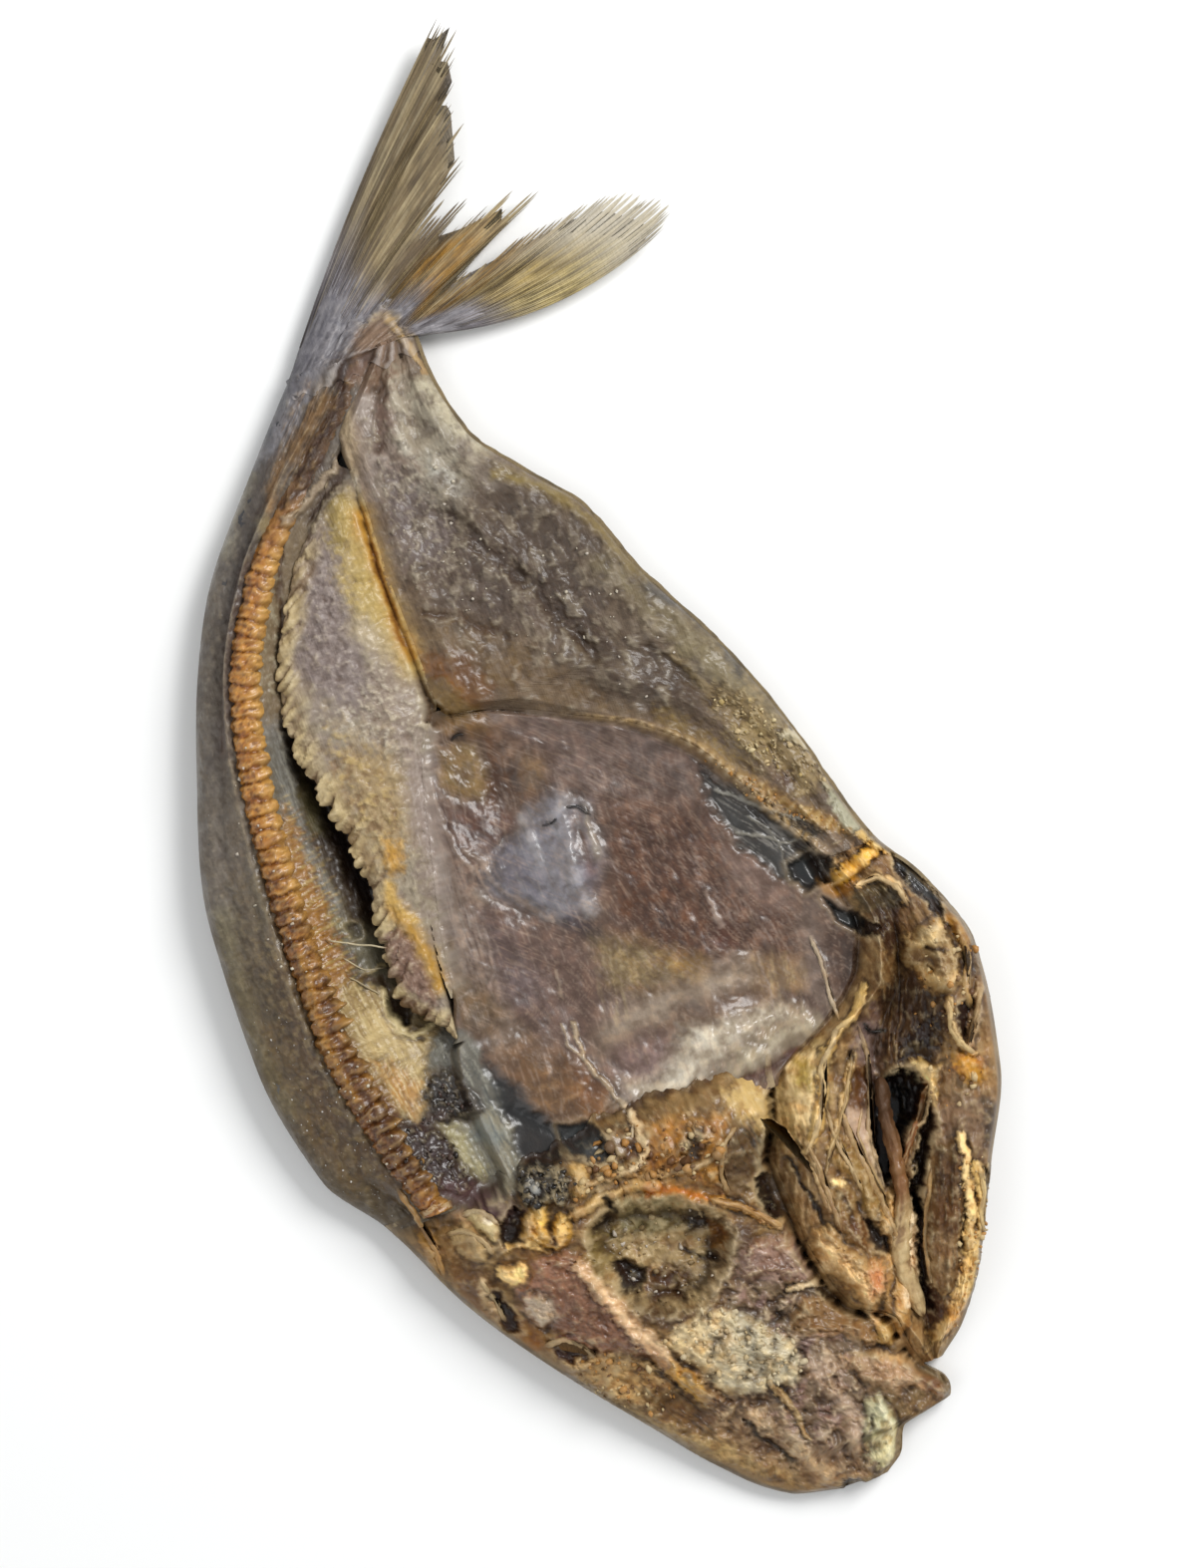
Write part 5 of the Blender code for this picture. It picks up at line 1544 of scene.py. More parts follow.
f = Sheet(sweep(101, 222.8, 0.43, skull_section, 300, 3), (150, 124, 88))
f.bold = 1.35
ragged = smooth_step(0.2, 0.0, f.u)
back = 6 * smooth_step(-56, -20, f.y) + 3.5 * rough(f.x * 0, f.y, 13, 110) + 2
f.x -= ragged ** 2 * np.clip(back, 0.8, 12) * smooth_step(-93, -70, f.y)
f.plan()
near_edge = f.y - left(f.x)
f.hills([(109, -38, 12, 7), (109, 8, 14, 7), (118, -64, 12, 5), (130, -48, 14, 6), (152, -38, 12, 4),
         (163, 6, 10, -4), (176, 22, 12, -3.5), (168, -18, 12, 3), (106, -80, 9, -2), (207, 8, 12, 2.5)],
        0.85, smooth_step(0, 8, near_edge))
inner = smooth_step(1.5, 6, near_edge) * smooth_step(1, 4, f.z - 2)
f.lift(inner * rough(f.x, f.y, 9, 113, 3), 1.0)
f.lift(inner * rough(f.x, f.y, 3, 114, 3), 0.45)
f.lift(noise(f.x, f.y, 1.5, 115), 0.2)
f.colour(f.blotch(6, 119, -0.2, 0.4) * 0.5, 156, 130, 92)
f.colour(f.blotch(5, 120, 0.1, 0.6) * 0.5, 112, 86, 60)
# the two pale streaks on the crest in this table are painted highlights
f.work("""
plate 5 0.8 170,130,74 212,756 228,764 238,790 246,816 250,838 262,850 274,860 262,860 244,836 230,800 \
    216,776
patch 6 0.4 182,152,122 218,758 240,766 264,776 262,786 240,780 226,772
patch 6 0 150,118,78 228,772 250,782 254,800 262,820 274,830 262,842 250,820 240,796
patch 6 -0.4 130,92,50 248,812 276,818 286,838 300,866 284,862 262,842
patch 6 0 84,60,62 244,752 276,756 304,772 298,786 272,776 246,764
plate 5 1.5 190,178,142 264,777 274,774 284,780 291,792 286,799 276,794 266,786
streak 2.5 0.6 224,220,206,0.9 278,781 283,782
plate 5 1.2 172,150,114 248,790 262,786 276,794 285,804 278,813 262,811 252,800
pit 4 3.0 46,28,22 290,785 300,770 307,776 303,800 292,801
plate 6 3.0 192,152,86 306,773 314,764 322,770 326,786 334,776 342,780 341,796 330,807 318,802 308,800 \
    303,788
streak 3 0.8 226,192,126 318,772 326,790
streak 3 0.8 222,186,118 336,782 332,798
streak 2 -0.8 118,80,42 325,784 328,798
cord 2.5 0.8 208,180,130 296,800 308,799 322,806
patch 5 0 148,110,66 298,802 332,806 330,816 306,816
plate 5 2.2 222,196,146 286,816 296,812 306,814 309,822 298,831 290,828
plate 9 1.8 160,120,100,0.8 312,812 330,804 344,806 356,820 372,840 396,866 410,886 396,886 372,877 \
    360,881 344,881 330,869 312,858 303,846 298,832 306,826
patch 8 0 156,118,98,0.7 330,812 348,818 366,850 352,860 336,850 330,830
plate 5 0.8 184,172,158 306,838 318,832 327,842 330,855 322,865 314,858 306,848
pit 4 1.2 98,56,44,0.7 322,874 340,868 356,872 361,884 350,893 332,887
cord 2 0.6 160,110,90 330,873 346,870 354,876
patch 5 0 156,108,54 300,856 320,862 324,880 312,882 302,868
pit 3 2.0 70,37,20 278,838 290,838 300,853 305,865 291,867 281,850
streak 3 0.8 188,170,142 274,828 281,842 288,856
cord 8 1.6 180,152,124,0.8 350,816 364,834 384,856 406,882 430,904 454,924
streak 3 0.2 206,184,156,0.7 356,822 372,842 394,864 414,888 440,912
patch 6 0.8 190,162,120 340,890 366,880 396,888 420,900 404,920 376,918 350,904
plate 5 0.8 190,150,84 412,882 428,892 448,912 458,922 444,926 424,908 410,894
patch 6 0 136,100,56 396,902 430,918 452,934 440,944 410,930 392,914
threads 1.4 0.3 84,60,36 400,890 460,940 380,886 420,888 460,926 450,944 400,920
patch 6 0.6 170,148,108 345,904 380,922 420,940 470,956 510,972 500,978 440,956 380,934
patch 7 0.6 190,140,76 392,714 420,705 440,707 458,702 456,730 450,753 420,752 390,752 383,742 396,728
patch 4 -0.8 92,62,36 426,714 436,714 434,738 424,740
patch 6 0 126,100,68 458,704 490,700 504,716 500,744 480,746 466,764 452,756 456,730
patch 5 0 152,130,120 460,694 486,692 490,708 470,714
plate 6 1.2 112,92,68 480,714 498,710 508,726 500,740 484,738
threads 1.3 0.3 64,46,30 470,700 500,750 458,700 504,706 512,740 480,744 456,744
patch 6 0.3 186,164,122 452,690 476,672 500,664 506,700 486,700 462,712
pit 7 6 22,20,18,0.8 473,752 486,744 500,746 514,762 524,778 520,790 506,788 492,784 479,770
threads 1.2 0.3 70,76,82 480,750 514,786 478,750 500,748 520,776 512,786 490,778
plate 5 1.0 146,120,80 498,736 512,742 526,762 534,784 528,786 514,768 502,752
plate 5 1.4 190,160,110 338,742 352,740 359,752 350,765 340,764
plate 4 1.0 124,84,48,0.9 362,716 384,714 393,724 390,737 372,739 360,729
cord 3 1.0 206,192,168 384,706 392,722 398,732 386,744
bone 4 1.4 180,150,104 344,778 358,768 382,758 404,757
cord 3 1.0 166,138,100 352,754 376,748 400,750 430,744 452,730
streak 4 0.3 200,124,32,0.8 396,760 414,759 432,763 448,767
bone 4 1.3 172,126,66 446,766 470,774 494,787
pit 14 8.5 168,150,118 352,786 364,774 384,766 410,766 436,770 456,780 460,798 454,822 442,840 426,850 \
    404,854 384,846 366,826 354,806
patch 6 1.0 150,142,110 372,768 400,766 424,774 420,790 396,796 374,790
patch 5 0.5 140,122,76 352,790 372,790 376,812 362,820 354,806
streak 2.5 -1.5 42,33,30 366,766 374,776
streak 3.5 -1.5 44,35,31 361,788 369,782
plate 3 0.8 68,66,64 424,777 438,776 442,788 428,792
plate 4 1.0 152,100,30 440,784 456,786 457,804 444,808
streak 2.5 -0.8 58,40,24 428,806 440,812 452,814
patch 5 0.8 142,126,102 418,814 446,816 448,836 424,834
pit 5 1.5 46,33,28,0.8 368,814 384,812 398,820 394,836 378,836
patch 5 0 106,64,32,0.8 396,820 422,820 424,840 400,844
patch 5 0.8 114,82,56 446,780 476,786 474,808 458,808 458,790
patch 5 0.6 112,84,58 388,846 420,848 450,838 452,850 420,860 396,858
patch 12 0 150,124,98,0.6 456,800 520,820 560,880 570,960 540,984 480,964 440,930 440,860
mottle 9 0.8 198,176,150 440,820 520,824 560,880 560,970 480,960 440,920
mottle 8 -0.8 104,72,52 440,820 520,824 560,880 560,970 480,960 440,920
mottle 6 0.4 170,136,128 470,810 540,870 556,940 520,976 480,930 460,860
plate 7 1.2 194,182,154 404,872 416,862 432,845 458,846 490,862 512,884 506,906 470,912 452,912 \
    440,898 422,880
crumb 4.2 0.9 214,204,172 404,872 416,862 432,845 458,846 500,866 516,890 500,908 466,912 440,898 422,880
plate 8 1.6 160,128,112,0.7 462,806 478,794 500,790 514,796 519,812 522,826 500,828 480,826 463,824
mottle 7 0.3 190,162,146 464,800 514,796 524,826 470,828
patch 3 -0.8 92,72,54 486,847 497,847 499,858 488,859
plate 7 1.6 168,130,92,0.7 502,850 512,840 530,842 548,856 562,866 573,877 560,877 540,867 520,869 504,865
pit 3 3 50,50,50,0.8 520,836 534,833 548,842 560,855 557,859 544,852 530,842
bone 2.5 1.2 194,172,138 500,833 520,831 540,836 558,850 571,870
streak 7 1.1 188,162,130 476,930 494,940 512,956 528,972
streak 2 -0.6 90,74,54 470,934 486,948 506,964
streak 7 1.1 190,164,140 520,892 536,908 548,928 554,950
bone 3 0.8 176,146,104 490,906 504,922 516,944
plate 6 2.2 188,184,150 556,916 568,912 578,924 585,945 581,962 570,969 560,960 555,935
streak 3 0.6 208,206,176 568,918 576,936 574,956
streak 2 -0.6 120,108,80 562,930 564,952
pit 3 2.2 50,46,50 542,976 553,974 562,982 552,988 543,986
plate 7 2.0 186,152,120,0.6 538,884 566,878 596,888 614,900 623,914 616,919 600,909 574,909 560,905 \
    545,896
patch 4 0.3 138,88,54 598,892 614,900 621,913 612,914 600,906
streak 3 0.5 192,166,130 552,882 580,884 602,894
""")
f.work(MIDDLE_FORMS)
f.deepen(inner, 0.85, 1.2)
f.tone(inner, 0.95, 0.95, 0.98)
f.tone(f.area([(386, 712), (464, 708), (464, 748), (390, 750)], 12), 0.62, 0.58, 0.52)
palate = f.area([(450, 796), (520, 800), (560, 870), (600, 900), (560, 960), (500, 960), (450, 900)], 14)
f.tone(palate, 0.74, 0.82, 0.98)
f.tone(f.area([(310, 826), (384, 836), (420, 900), (360, 910), (320, 880)], 12), 0.78, 0.76, 0.74)
f.tone(inner * f.blotch(5, 322, 0.0, 0.6), 0.72, 0.62, 0.5)
f.tone(inner * f.blotch(7, 323, 0.0, 0.6), 1.2, 1.16, 1.12)
f.shreds(inner, 8, 0.7, 1.2, 319, 0.12)
f.grit_and_shade(inner, 2.6, 0.15, 0.06, 321)
for outline, *lumps in (
        ("342,772 346,744 366,716 396,710 440,706 456,730 450,754 400,756", 4.5, 1.4, 116, 0.5, 0.5),
        ("340,890 366,880 404,892 406,930 376,920 346,904", 3.2, 1.0, 121, 0.5, 0.4),
        ("362,776 400,766 456,790 440,840 390,846 360,810", 3.4, 1.0, 126, 0.35, 0.3)):
    f.crumbs(f.area(places(outline.split()), 6, 3), *lumps)
f.salt += 0.1
f.work(HEAD_END)
f.meet(f.border(high=4), -0.12)
f.meet(f.border(first=7) * smooth_step(-46, -60, f.y), 0.0)
# painted shade in the hollows and painted light on the crests, at two sizes
f.relief_shading(60, 1.5, 0.55, 0.35, (44, 27, 16), (222, 204, 166))
f.relief_shading(8, 0.4, 0.15, 0.12, (70, 42, 20), (232, 214, 176))
f.lay()
snout_edge = np.minimum(snout_right(f.x) - f.y + 0.6, 223.3 - f.x)
f.sides(np.minimum(near_edge, np.where(f.x > 197, snout_edge, 9)))
skull_look = flesh_finish("cut_skull", mottle=0.3, speckle=0.25, fibre=0.2, bump=0.38, fine=1400)
f.make("head_left_half", skull_look, "head_left", ["head_left"], base=0.0)


# ---------------------------------------------------------------- Torn sinews and crumbs
# Sinews, splinters of thin bone and two black hairs that stand free of the cut surfaces, and the crumbs
# of dried flesh, blood and salt caught on them. Each sinew grows out of the surface at its ends.
BARE = 9.0  # height given where nothing is laid
SINEW_COLUMNS = 13


def ground_at(right, down):
    """Place, height and colour of the surface under a point of the plan."""
    x, y = on_plan(right, down)
    i, j = (place.astype(int) for place in ground_cell(x, y))
    found = Sheet.ground[i, j]
    return x, y, np.nan_to_num(found[:, 3], nan=BARE), np.nan_to_num(found[:, :3], nan=0.1)


def strand(row, seed):
    """A torn ribbon or thread: half width, thickness, rise, colour and its line on the plan."""
    kind, width, thick, rise, tint, *points = row.split()
    width, thick, rise = float(width) * UNIT, float(thick), float(rise)
    broad, points = width > 0.6, np.array(places(points))
    run = np.concatenate([[0], np.cumsum(np.hypot(*np.diff(points, axis=0).T))])
    count = int(max(16, run[-1] / 1.6))
    t = np.linspace(0, 1, count)
    at = t * run[-1]
    right, down = (np.interp(at, run, points[:, n]) for n in (0, 1))
    for field in (right, down):
        soften(field, 5)
    loose = 4 * t * (1 - t)
    right, down = right + loose * noise(at, t, 14, seed), down + loose * noise(at, t, 14, seed + 1)
    x, y, z, ground = ground_at(right, down)
    if kind == "bridge":
        z = lerp(z[0], z[-1], t)
    soften(z, 6)
    ahead, aside = np.gradient(x), np.gradient(y)
    span = np.hypot(ahead, aside)
    ragged = 1 + (0.3 * noise(at, t, 7, seed + 2) + 0.3 * noise(at, t, 3, seed + 3)) * broad
    body = (0.2 + 0.8 * np.minimum(1, 3 * loose) ** 0.7) * ragged
    turn = np.linspace(0, 2 * np.pi, SINEW_COLUMNS)[None, :]
    split = 1 + (0.25 * noise(3 * turn, t[:, None] * run[-1] / 9, 1, seed + 4)) * broad
    across, up = width * body[:, None] * np.cos(turn) * split, thick * body[:, None] * np.sin(turn) * split
    tilt = 0.35 * noise(at, t, 25, seed + 5)[:, None]
    place = (x[:, None] - across * (aside / span)[:, None], y[:, None] + across * (ahead / span)[:, None],
             (z + rise * np.minimum(1, 2.5 * loose) - 0.4 * thick)[:, None] + up + across * tilt)
    s = Sheet(place, tuple(map(float, tint.split(","))))
    top = np.tile(np.sin(turn), (count, 1)).ravel()
    rub = rough(s.u * run[-1] * 0.25, 6 * np.cos(2 * np.pi * s.v) + seed, 3, seed + 6, 3)
    if broad:
        s.colour(smooth_step(0.1, 0.8, rub) * 0.5, 232, 214, 172)
        s.colour(smooth_step(0.0, -0.7, rub) * 0.5, 128, 84, 42)
        # painted shade on the sides and underside of a broad ribbon
        s.colour(smooth_step(0.5, -0.4, top) * 0.6, 118, 78, 40)
    grown = smooth_step(0.16, 0.0, np.minimum(s.u, 1 - s.u))[:, None]
    grown = np.maximum(grown, 0.45 * smooth_step(-0.2, 0.4, rub)[:, None])
    s.tint = s.tint * (1 - grown) + np.repeat(ground, SINEW_COLUMNS, 0) * grown
    s.wet[:] = 0.45
    return s.shape("sinew", tube=True)


SINEWS = """
strand 2.2 0.7 0.3 204,182,140 548,632 536,642 531,656 524,668 526,690 522,715 513,734
strand 1.6 0.6 0.25 186,160,112 549,658 545,680 541,704 532,730 526,756
strand 2.5 0.8 0.3 190,160,112 538,700 548,726 560,750 572,776 584,804
strand 1.9 0.7 0.3 170,140,96 512,722 524,748 534,776 540,792
strand 1.5 0.6 0.3 204,180,136 528,700 534,722 546,744 556,764
strand 1.2 0.5 0.25 196,168,120 556,700 552,720 560,742 574,768
strand 1.9 0.7 0.4 206,184,136 640,742 644,762 641,780 646,796
strand 1.9 0.7 0.5 184,150,98 606,744 603,770 602,800 606,830
strand 2.2 0.7 0.4 210,186,136 616,620 618,640 625,652 637,660
strand 1.9 0.7 0.4 176,148,106 641,610 637,632 632,654
strand 2.2 0.8 0.2 132,82,40 603,684 598,706 589,730 583,757
strand 1.9 0.7 0.4 200,174,134 552,640 560,664 562,690 560,716 566,742 572,760
strand 2.5 0.8 0.5 196,160,100 626,572 632,590 628,610 634,628
strand 1.9 0.6 0.4 196,172,130 550,537 566,531 580,538 589,553
strand 1.2 0.45 0.3 206,190,160 386,712 385,724 378,736
strand 1.2 0.45 0.3 206,190,160 390,718 402,729 410,736
strand 2.2 0.75 0.4 176,136,80 444,766 470,774 496,788
strand 1.9 0.7 0.4 180,150,104 464,708 452,726 450,746 456,764
strand 1.9 0.7 0.4 186,154,104 480,708 496,716 508,730 520,748 530,776
strand 2.2 0.7 0.3 182,142,84 212,758 228,782 240,804 248,828
strand 2.5 0.7 0.4 202,184,150 260,780 274,776 288,786
strand 1.9 0.65 0.35 190,166,124 248,794 264,790 278,798 285,808
strand 2.2 0.7 0.3 196,172,130 320,877 336,870 350,876 361,887
strand 1.7 0.6 0.3 200,180,140 274,826 284,842 293,860
strand 1.5 0.45 0.25 202,186,162 516,574 524,590 529,610 538,636
bridge 0.7 0.25 0.6 206,196,168 160,577 182,580 206,583
bridge 0.6 0.25 0.4 206,196,168 172,590 188,600 204,598
bridge 0.6 0.25 0.4 200,188,158 176,604 190,612 206,622
strand 0.9 0.4 0.6 14,12,12 337,479 345,479 354,485
strand 0.6 0.3 0.5 22,18,18 319,493 325,492 330,487
strand 0.8 0.3 0.5 26,22,20 252,431 255,427 262,426
strand 0.9 0.4 0.6 20,17,17 557,641 562,646 571,645
"""
torn = [strand(row, 500 + 9 * n) for n, row in enumerate(SINEWS.strip().splitlines())]
sinew_look = flesh_finish("torn_sinew", mottle=0.4, speckle=0.4, fibre=0.2, bump=0.4, gloss=0.8, fine=1500)
dress(joined(torn, "torn_sinews"), sinew_look)

bpy.ops.mesh.primitive_ico_sphere_add(subdivisions=1, radius=1)
crumb = bpy.context.object
ball = np.empty(3 * len(crumb.data.vertices))
crumb.data.vertices.foreach_get("co", ball)
ball = ball.reshape(-1, 3)
loose = []


def scatter(count, small, large, wet, tints, outline, seed):
    """Crumbs of uneven size lying in an outline on the plan."""
    rng = np.random.default_rng(seed)
    outline = np.array(places(outline.split()))
    right, down = (rng.uniform(outline[:, n].min(), outline[:, n].max(), 6 * count) for n in (0, 1))
    inside = np.zeros(right.size, bool)
    for (ax, ay), (bx, by) in zip(outline, np.roll(outline, -1, 0)):
        inside ^= ((ay > down) != (by > down)) & (right < (bx - ax) * (down - ay) / (by - ay + 1e-9) + ax)
    right, down = right[inside][:count], down[inside][:count]
    x, y, z, ground = ground_at(right, down)
    for n in np.flatnonzero(z != BARE):
        size = small + (large - small) * rng.random() ** 2.5
        shape = ball * size / 2 * rng.uniform(0.6, 1.3, ball.shape) * rng.uniform(0.6, 1.4, 3)
        place = (shape + [x[n] - ORIGIN[0], y[n] - ORIGIN[1], z[n] + 0.15 * size]) * MM
        tint = lerp(paint(*tints[rng.integers(len(tints))]), ground[n], 0.35 * rng.random())
        piece = crumb.copy()
        piece.data = crumb.data.copy()
        piece.data.vertices.foreach_set("co", place.ravel())
        note(piece.data, "Tint", "FLOAT_COLOR", np.tile([*np.clip(tint, 0.002, 0.9), 1.0], len(ball)))
        note(piece.data, "Wet", "FLOAT", np.full(len(ball), wet))
        bpy.context.collection.objects.link(piece)
        loose.append(piece)


CREAM, AMBER, BROWN, WHITE = (214, 194, 152), (190, 138, 70), (104, 70, 42), (208, 202, 196)
# how many, smallest and largest in mm, wetness, colours, and where they lie on the plan
HEAPS = (
    (130, 0.8, 3.2, 0.3, [CREAM, AMBER, BROWN, (160, 124, 78)],
     "342,770 346,746 366,716 396,710 440,706 456,728 448,754 400,756"),
    (130, 0.6, 2.4, 0.3, [CREAM, (222, 210, 180), (196, 176, 140)],
     "404,872 430,846 458,846 500,862 514,888 500,906 440,898"),
    (60, 0.6, 2.2, 0.3, [WHITE, CREAM, (150, 130, 96)],
     "370,772 410,768 450,782 452,812 430,846 384,840 362,806"),
    (70, 0.7, 2.4, 0.3, [CREAM, AMBER, BROWN],
     "340,890 366,880 404,892 420,916 400,930 360,914"),
    (60, 0.8, 2.6, 0.3, [AMBER, BROWN, CREAM],
     "600,560 640,556 644,640 640,700 600,700 590,640"),
    (60, 0.6, 2.0, 0.3, [CREAM, AMBER],
     "626,724 650,740 650,800 640,850 616,876 624,830"),
    (40, 0.8, 2.4, 0.9, [(22, 20, 20), (30, 28, 28), (60, 56, 56)],
     "300,742 332,738 344,754 338,772 304,770"),
    (40, 0.8, 2.2, 0.9, [(50, 36, 32), (74, 52, 44), (34, 26, 24)],
     "234,684 262,682 272,700 262,708 240,706 214,716 216,744 262,752 266,740 240,716"),
    (60, 0.6, 1.8, 0.3, [CREAM, (190, 168, 110), (222, 208, 168)],
     "440,392 470,398 500,424 528,440 530,464 500,460 460,430"),
    (50, 0.6, 1.6, 0.3, [CREAM, AMBER],
     "438,444 470,456 500,476 540,488 544,500 500,486 460,466"),
    (60, 0.5, 1.4, 0.3, [WHITE, (220, 216, 204)],
     "180,700 120,600 90,500 100,420 130,540 180,640 240,740 250,780 200,760"),
    (60, 0.5, 1.3, 0.3, [WHITE, (220, 214, 200)],
     "200,230 262,226 340,280 400,340 440,400 380,400 300,360 230,320"),
)
for seed, heap in enumerate(HEAPS, 601):
    scatter(*heap, seed)
bpy.data.objects.remove(crumb)
crumb_look = flesh_finish("dried_crumbs", mottle=0.3, speckle=0.3, fibre=0.0, bump=0.3, fine=1500)
dress(joined(loose, "crumbs"), crumb_look)


# ---------------------------------------------------------------- Tail fin
# The tail: a tall upper lobe, a lower lobe and frayed rays between. Each ray is a fine ridge in the
# dry web, olive and tan with dark streaks; the root is bluish, and an amber patch lies at its middle.
FIN_SHARE = (0, 0.06, 0.14, 0.24, 0.3, 0.36, 0.42, 0.48, 0.54, 0.6, 0.66, 0.72, 0.8, 0.88, 0.95, 1)
FIN_X = (-231.5, -221, -205, -185, -181, -176, -169, -173, -169.5, -161, -155.5, -157, -159, -154,
         -148.5, -144)
FIN_Y = (54, 55, 48, 43, 33, 42, 35, 52, 62, 43, 32, 50, 74, 86, 90, 87)
ROOT_X, ROOT_Y = -142.0, (-31.0, 10.0)
fin_tip_x, fin_tip_y = curve(*zip(FIN_SHARE, FIN_X)), curve(*zip(FIN_SHARE, FIN_Y))


def fin_place(share, out):
    """A point in the middle of the fin: share runs across the rays, out from the root to the edge."""
    bow, side = 4 * out * (1 - out), 4 * share * (1 - share)
    x = lerp(ROOT_X, fin_tip_x(share), out) + bow * lerp(-1.0, 7.0, share ** 3)
    y = lerp(lerp(*ROOT_Y, share), fin_tip_y(share), out) - bow * lerp(3.0, 0.0, share)
    z = 6.2 - 1.8 * out + 1.2 * np.sin(11 * share) * out + 4.5 * out * out * (1 - 0.6 * side)
    return x, y, z


def fin_colours(s, share, out):
    """Blue-grey root, amber and olive rays with dark streaks, pale frayed ends."""
    def spot(at_share, at_out, wide, deep):
        return np.exp(-((share - at_share) / wide) ** 2 - ((out - at_out) / deep) ** 2)

    grain = rough(share * 260, out * 14, 3, 150, 3)
    grain2 = rough(share * 520, out * 22, 3, 151, 2)
    s.colour(np.ones(share.size), 142, 126, 98)
    s.colour(smooth_step(0.3, 0.1, share) * 0.6, 132, 116, 84)
    middle_rays = smooth_step(0.42, 0.5, share) * smooth_step(0.68, 0.62, share)
    s.colour(middle_rays * smooth_step(0.5, 0.8, out), 170, 160, 132)
    amber = np.maximum(spot(0.57, 0.48, 0.09, 0.16), spot(0.46, 0.66, 0.08, 0.17))
    s.colour(amber * 0.95, 196, 146, 50, wet=0.5)
    low = smooth_step(0.7, 0.82, share)
    s.colour(low * 0.9, 200, 178, 116)
    s.colour(smooth_step(0.84, 0.95, share) * 0.85, 220, 206, 150)
    s.colour(bell(share, 0.72, 0.045) * smooth_step(0.1, 0.3, out) * 0.75, 152, 116, 50)
    s.colour(bell(share, 0.8, 0.02) * smooth_step(0.2, 0.4, out) * 0.5, 104, 90, 66)
    s.colour(smooth_step(0.1, 0.75, grain) * 0.5, 186, 172, 138)
    s.colour(smooth_step(0.0, -0.6, grain) * 0.65, 88, 76, 60)
    s.colour(smooth_step(0.1, 0.7, grain2) * 0.35, 200, 190, 160)
    s.colour(smooth_step(-0.1, -0.7, grain2) * 0.45, 70, 60, 50)
    s.colour(bell(share, 0.36, 0.05) * smooth_step(0.3, 0.7, out) * 0.6, 92, 80, 70)
    s.colour(low * smooth_step(0.6, 0.9, out) * 0.85, 222, 220, 212)
    s.colour((1 - low) * smooth_step(0.85, 1.0, out) * 0.4, 150, 144, 132)
    s.colour(smooth_step(0.07, 0.0, share) * smooth_step(0.9, 0.3, out) * 0.75, 76, 70, 66)
    violet = bell(share, 0.68, 0.12) * smooth_step(0.36, 0.2, out)
    root = smooth_step(0.5, 0.24, out + 0.04 * rough(share * 40, out * 30, 5, 152))
    s.colour(root * 0.95, 154, 154, 172)
    s.colour(root * smooth_step(0.0, 0.5, grain) * 0.6, 186, 186, 198)
    s.colour(root * smooth_step(0.0, -0.5, grain2) * 0.5, 96, 98, 114)
    s.colour(violet * 0.6, 122, 98, 96)
    s.colour(smooth_step(0.16, 0.02, share) * smooth_step(0.34, 0.1, out) * 0.8, 62, 63, 74)
    s.wet[:] = 0.25 + 0.2 * root


RAYS, RAY_ROWS, RAY_COLUMNS = 128, 30, 6
fin_look = flesh_finish("dry_fin_rays", mottle=0.25, speckle=0.4, fibre=0.45, bump=0.3, gloss=0.5, fine=1800)
chance = np.random.default_rng(153)
pieces = []
for n in range(RAYS):
    share = (n + 0.5) / RAYS
    bundle = abs(((share * 23 + 0.3 * math.sin(share * 40)) % 1) - 0.5) * 2
    reach = (1.06 if share > 0.62 else 1.0) - (0.07 if share > 0.04 else 0) * bundle
    reach = reach - 0.05 * chance.random() - (0.10 * bundle if 0.26 < share < 0.7 else 0)
    if share > 0.7:
        reach = 1.06 - 0.03 * bundle - 0.02 * chance.random()
    if chance.random() < 0.08:
        reach -= 0.12 * chance.random()
    lean = chance.uniform(-0.5, 0.5) / RAYS
    outs = np.linspace(0.10, 1, RAY_ROWS)[:, None] * reach
    turn = np.linspace(0, 2 * np.pi, RAY_COLUMNS)[None, :]
    drift = share + lean * smooth_step(0.7, 1.0, outs)
    cx, cy, cz = fin_place(drift, outs)
    ax, ay, _ = fin_place(drift + 0.6 / RAYS, outs)
    bx, by, _ = fin_place(drift - 0.6 / RAYS, outs)
    wide_x, wide_y = (ax - bx) / 2, (ay - by) / 2
    pinch = np.minimum(1, 2.2 / np.maximum(1.2, np.hypot(wide_x, wide_y) * 2))
    fray = lerp(1.0, 0.62 if share < 0.68 else 0.95, smooth_step(0.72, 0.95, outs / reach))
    fray = fray * (1 - smooth_step(0.93, 1.0, outs / reach) ** 2) * pinch + 0.02
    swell = 0.34 + 0.5 * smooth_step(0.35, 0.1, outs)
    x = cx + wide_x * fray * np.cos(turn)
    y = cy + wide_y * fray * np.cos(turn)
    z = cz + 0.25 + (swell * np.sin(turn)) * (0.3 + 0.7 * fray) + 0.25 * np.sin(n * 2.4)
    ray = Sheet((x, y, z), (140, 124, 96))
    fin_colours(ray, np.full(ray.x.size, share) + 0.4 * lean, np.broadcast_to(outs, ray.grid).ravel())
    strength = 0.35 * chance.random()
    ray.colour(np.full(ray.x.size, strength), *((96, 82, 62) if chance.random() < 0.5 else (176, 164, 132)))
    pieces.append(ray.shape("ray", tube=True))
dress(joined(pieces, "tail_rays"), fin_look)

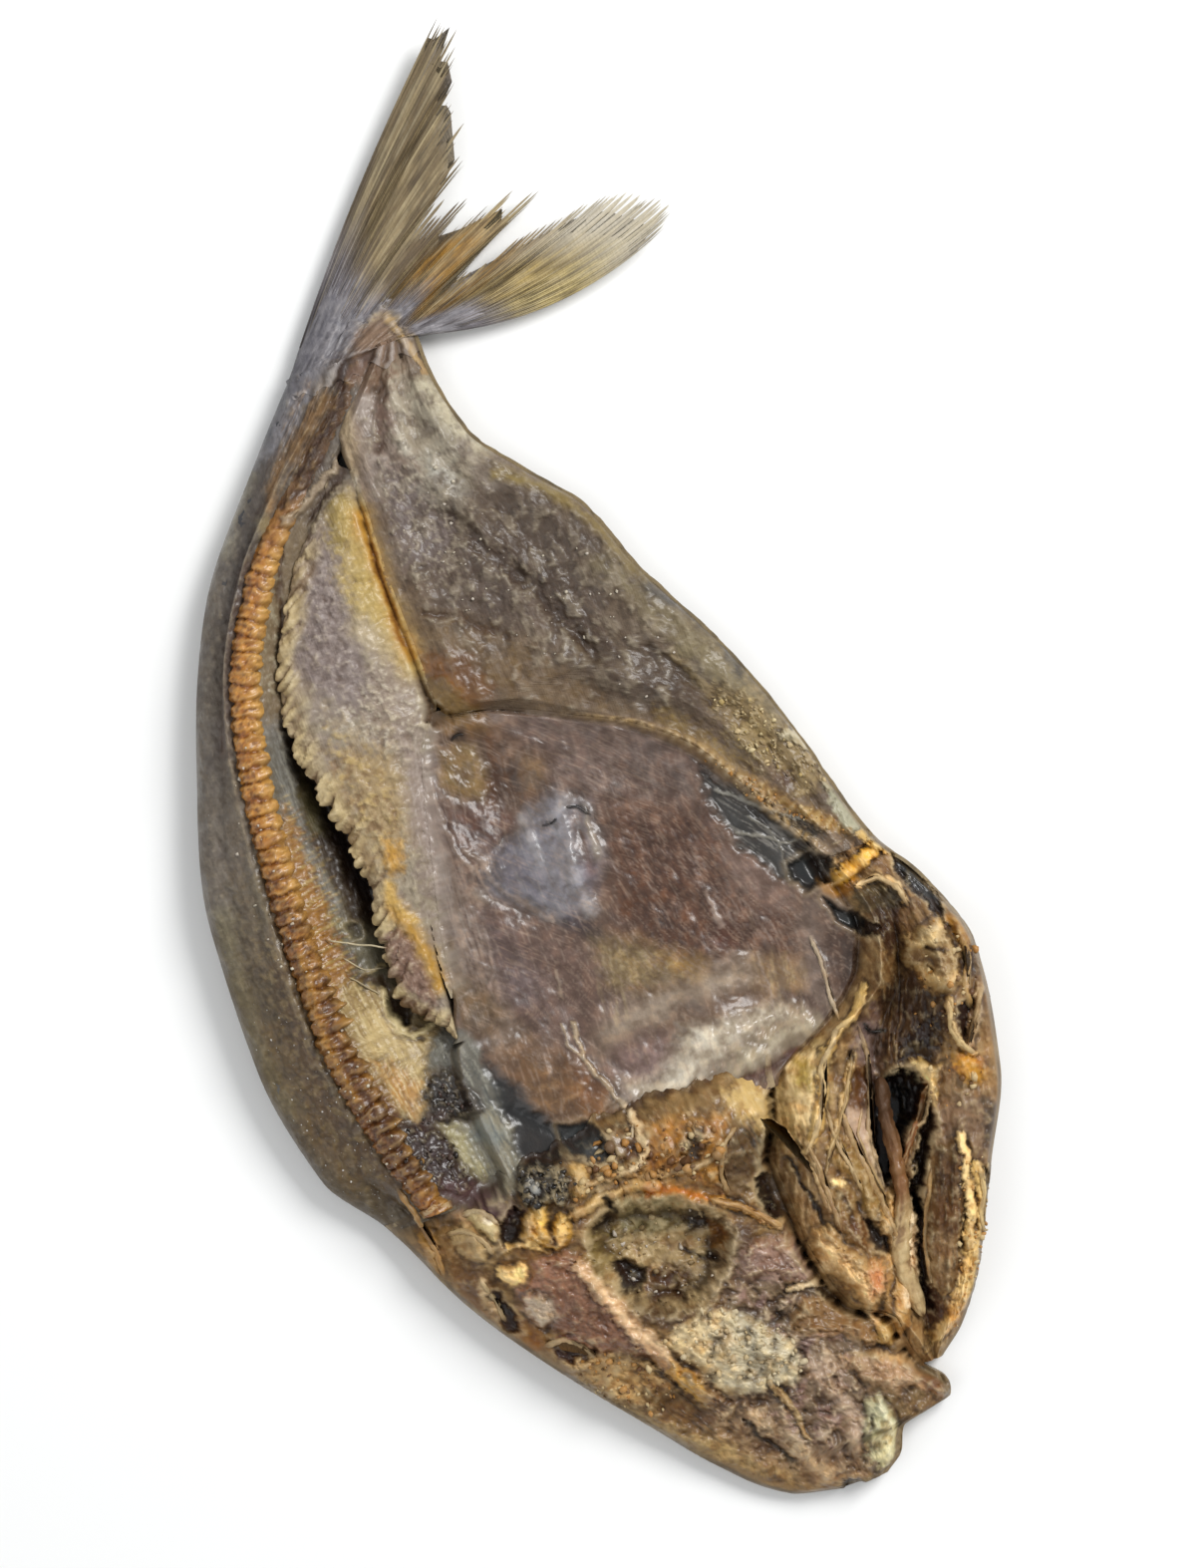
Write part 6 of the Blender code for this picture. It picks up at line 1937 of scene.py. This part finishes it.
# the web between the rays, and the thick root that the fin grows from
WEB_ROWS, ROOT_ROWS, WEB_COLUMNS = 102, 8, 120
outs = np.concatenate([np.linspace(-0.09, 0.0, ROOT_ROWS), np.linspace(0.01, 0.9, WEB_ROWS)])[:, None]
across = np.concatenate([np.linspace(0, 1, WEB_COLUMNS), np.linspace(1, 0, WEB_COLUMNS)])[None, :]
upper = np.concatenate([np.ones(WEB_COLUMNS), -np.ones(WEB_COLUMNS)])[None, :]
keep = 1 - (0.10 * smooth_step(0.5, 0.9, outs) * smooth_step(0.2, 0.3, across)
            * smooth_step(0.75, 0.68, across))
keep = keep - 0.22 * bell(across, 0.3, 0.06) * smooth_step(0.4, 0.9, outs)
keep = keep * (1 - 0.12 * smooth_step(0.5, 0.85, outs) * noise(across * 70, outs * 0, 1, 157))
x, y, z = fin_place(across, np.maximum(outs, 0) * keep)
x = x - np.minimum(outs, 0) * (60 + 34 * noise(across * 9, outs * 0, 1, 156))
side = np.clip(4 * across * (1 - across), 0, 1)
thick = lerp(11.5, 0.5, 1 - (1 - np.clip(outs * 2.6, 0, 1)) ** 2) * (0.35 + 0.65 * np.minimum(1, side * 1.6))
thick = np.maximum(thick, 0.5) * np.sqrt(np.clip(side * 14, 0, 1))
f = Sheet((x, y, z + upper * thick / 2), (140, 124, 96))
share, out = np.broadcast_to(across, f.grid).ravel(), np.broadcast_to(outs, f.grid).ravel()
topside = np.broadcast_to(upper, f.grid).ravel() > 0
fin_colours(f, share, out)
f.colour(smooth_step(0.35, 0.6, out) * 0.2, 96, 84, 66)
fibres = rough(share * 70, out * 30, 4, 154, 4) * topside * smooth_step(0.45, 0.2, out)
f.z += fibres * 0.55 * smooth_step(0, 0.05, share) * smooth_step(1, 0.95, share)
flesh_tip = places("150,176 172,130 188,116 203,108 214,126 236,142 230,160 190,190".split())
flesh_tip = f.area(flesh_tip, 5) * topside
f.colour(flesh_tip * 0.85, 132, 112, 96)
f.colour(flesh_tip * f.blotch(3, 155) * 0.6, 176, 158, 134)
f.lift(flesh_tip, 0.7)
f.colour(f.line([(186, 122), (203, 110), (216, 128), (234, 144)], 3.5) * topside * 0.7, 196, 178, 142)
f.colour(f.line([(188, 124), (176, 150)], 4) * topside * 0.8, 62, 46, 36)
f.work(TAIL_ROOT)
f.salt += 0.05
f.meet(smooth_step(0.035, -0.02, out) * topside, -0.1)
# painted shade in the hollows and painted light on the crests
f.relief_shading(16, 0.35, 0.4, 0.4, (58, 52, 56), (190, 188, 194))
web_look = flesh_finish("fin_web", mottle=0.35, speckle=0.5, fibre=0.4, bump=0.35, gloss=0.6, fine=1600)
f.make("tail_web", web_look, "tail_fin", ["tail_fin"], tube=True)
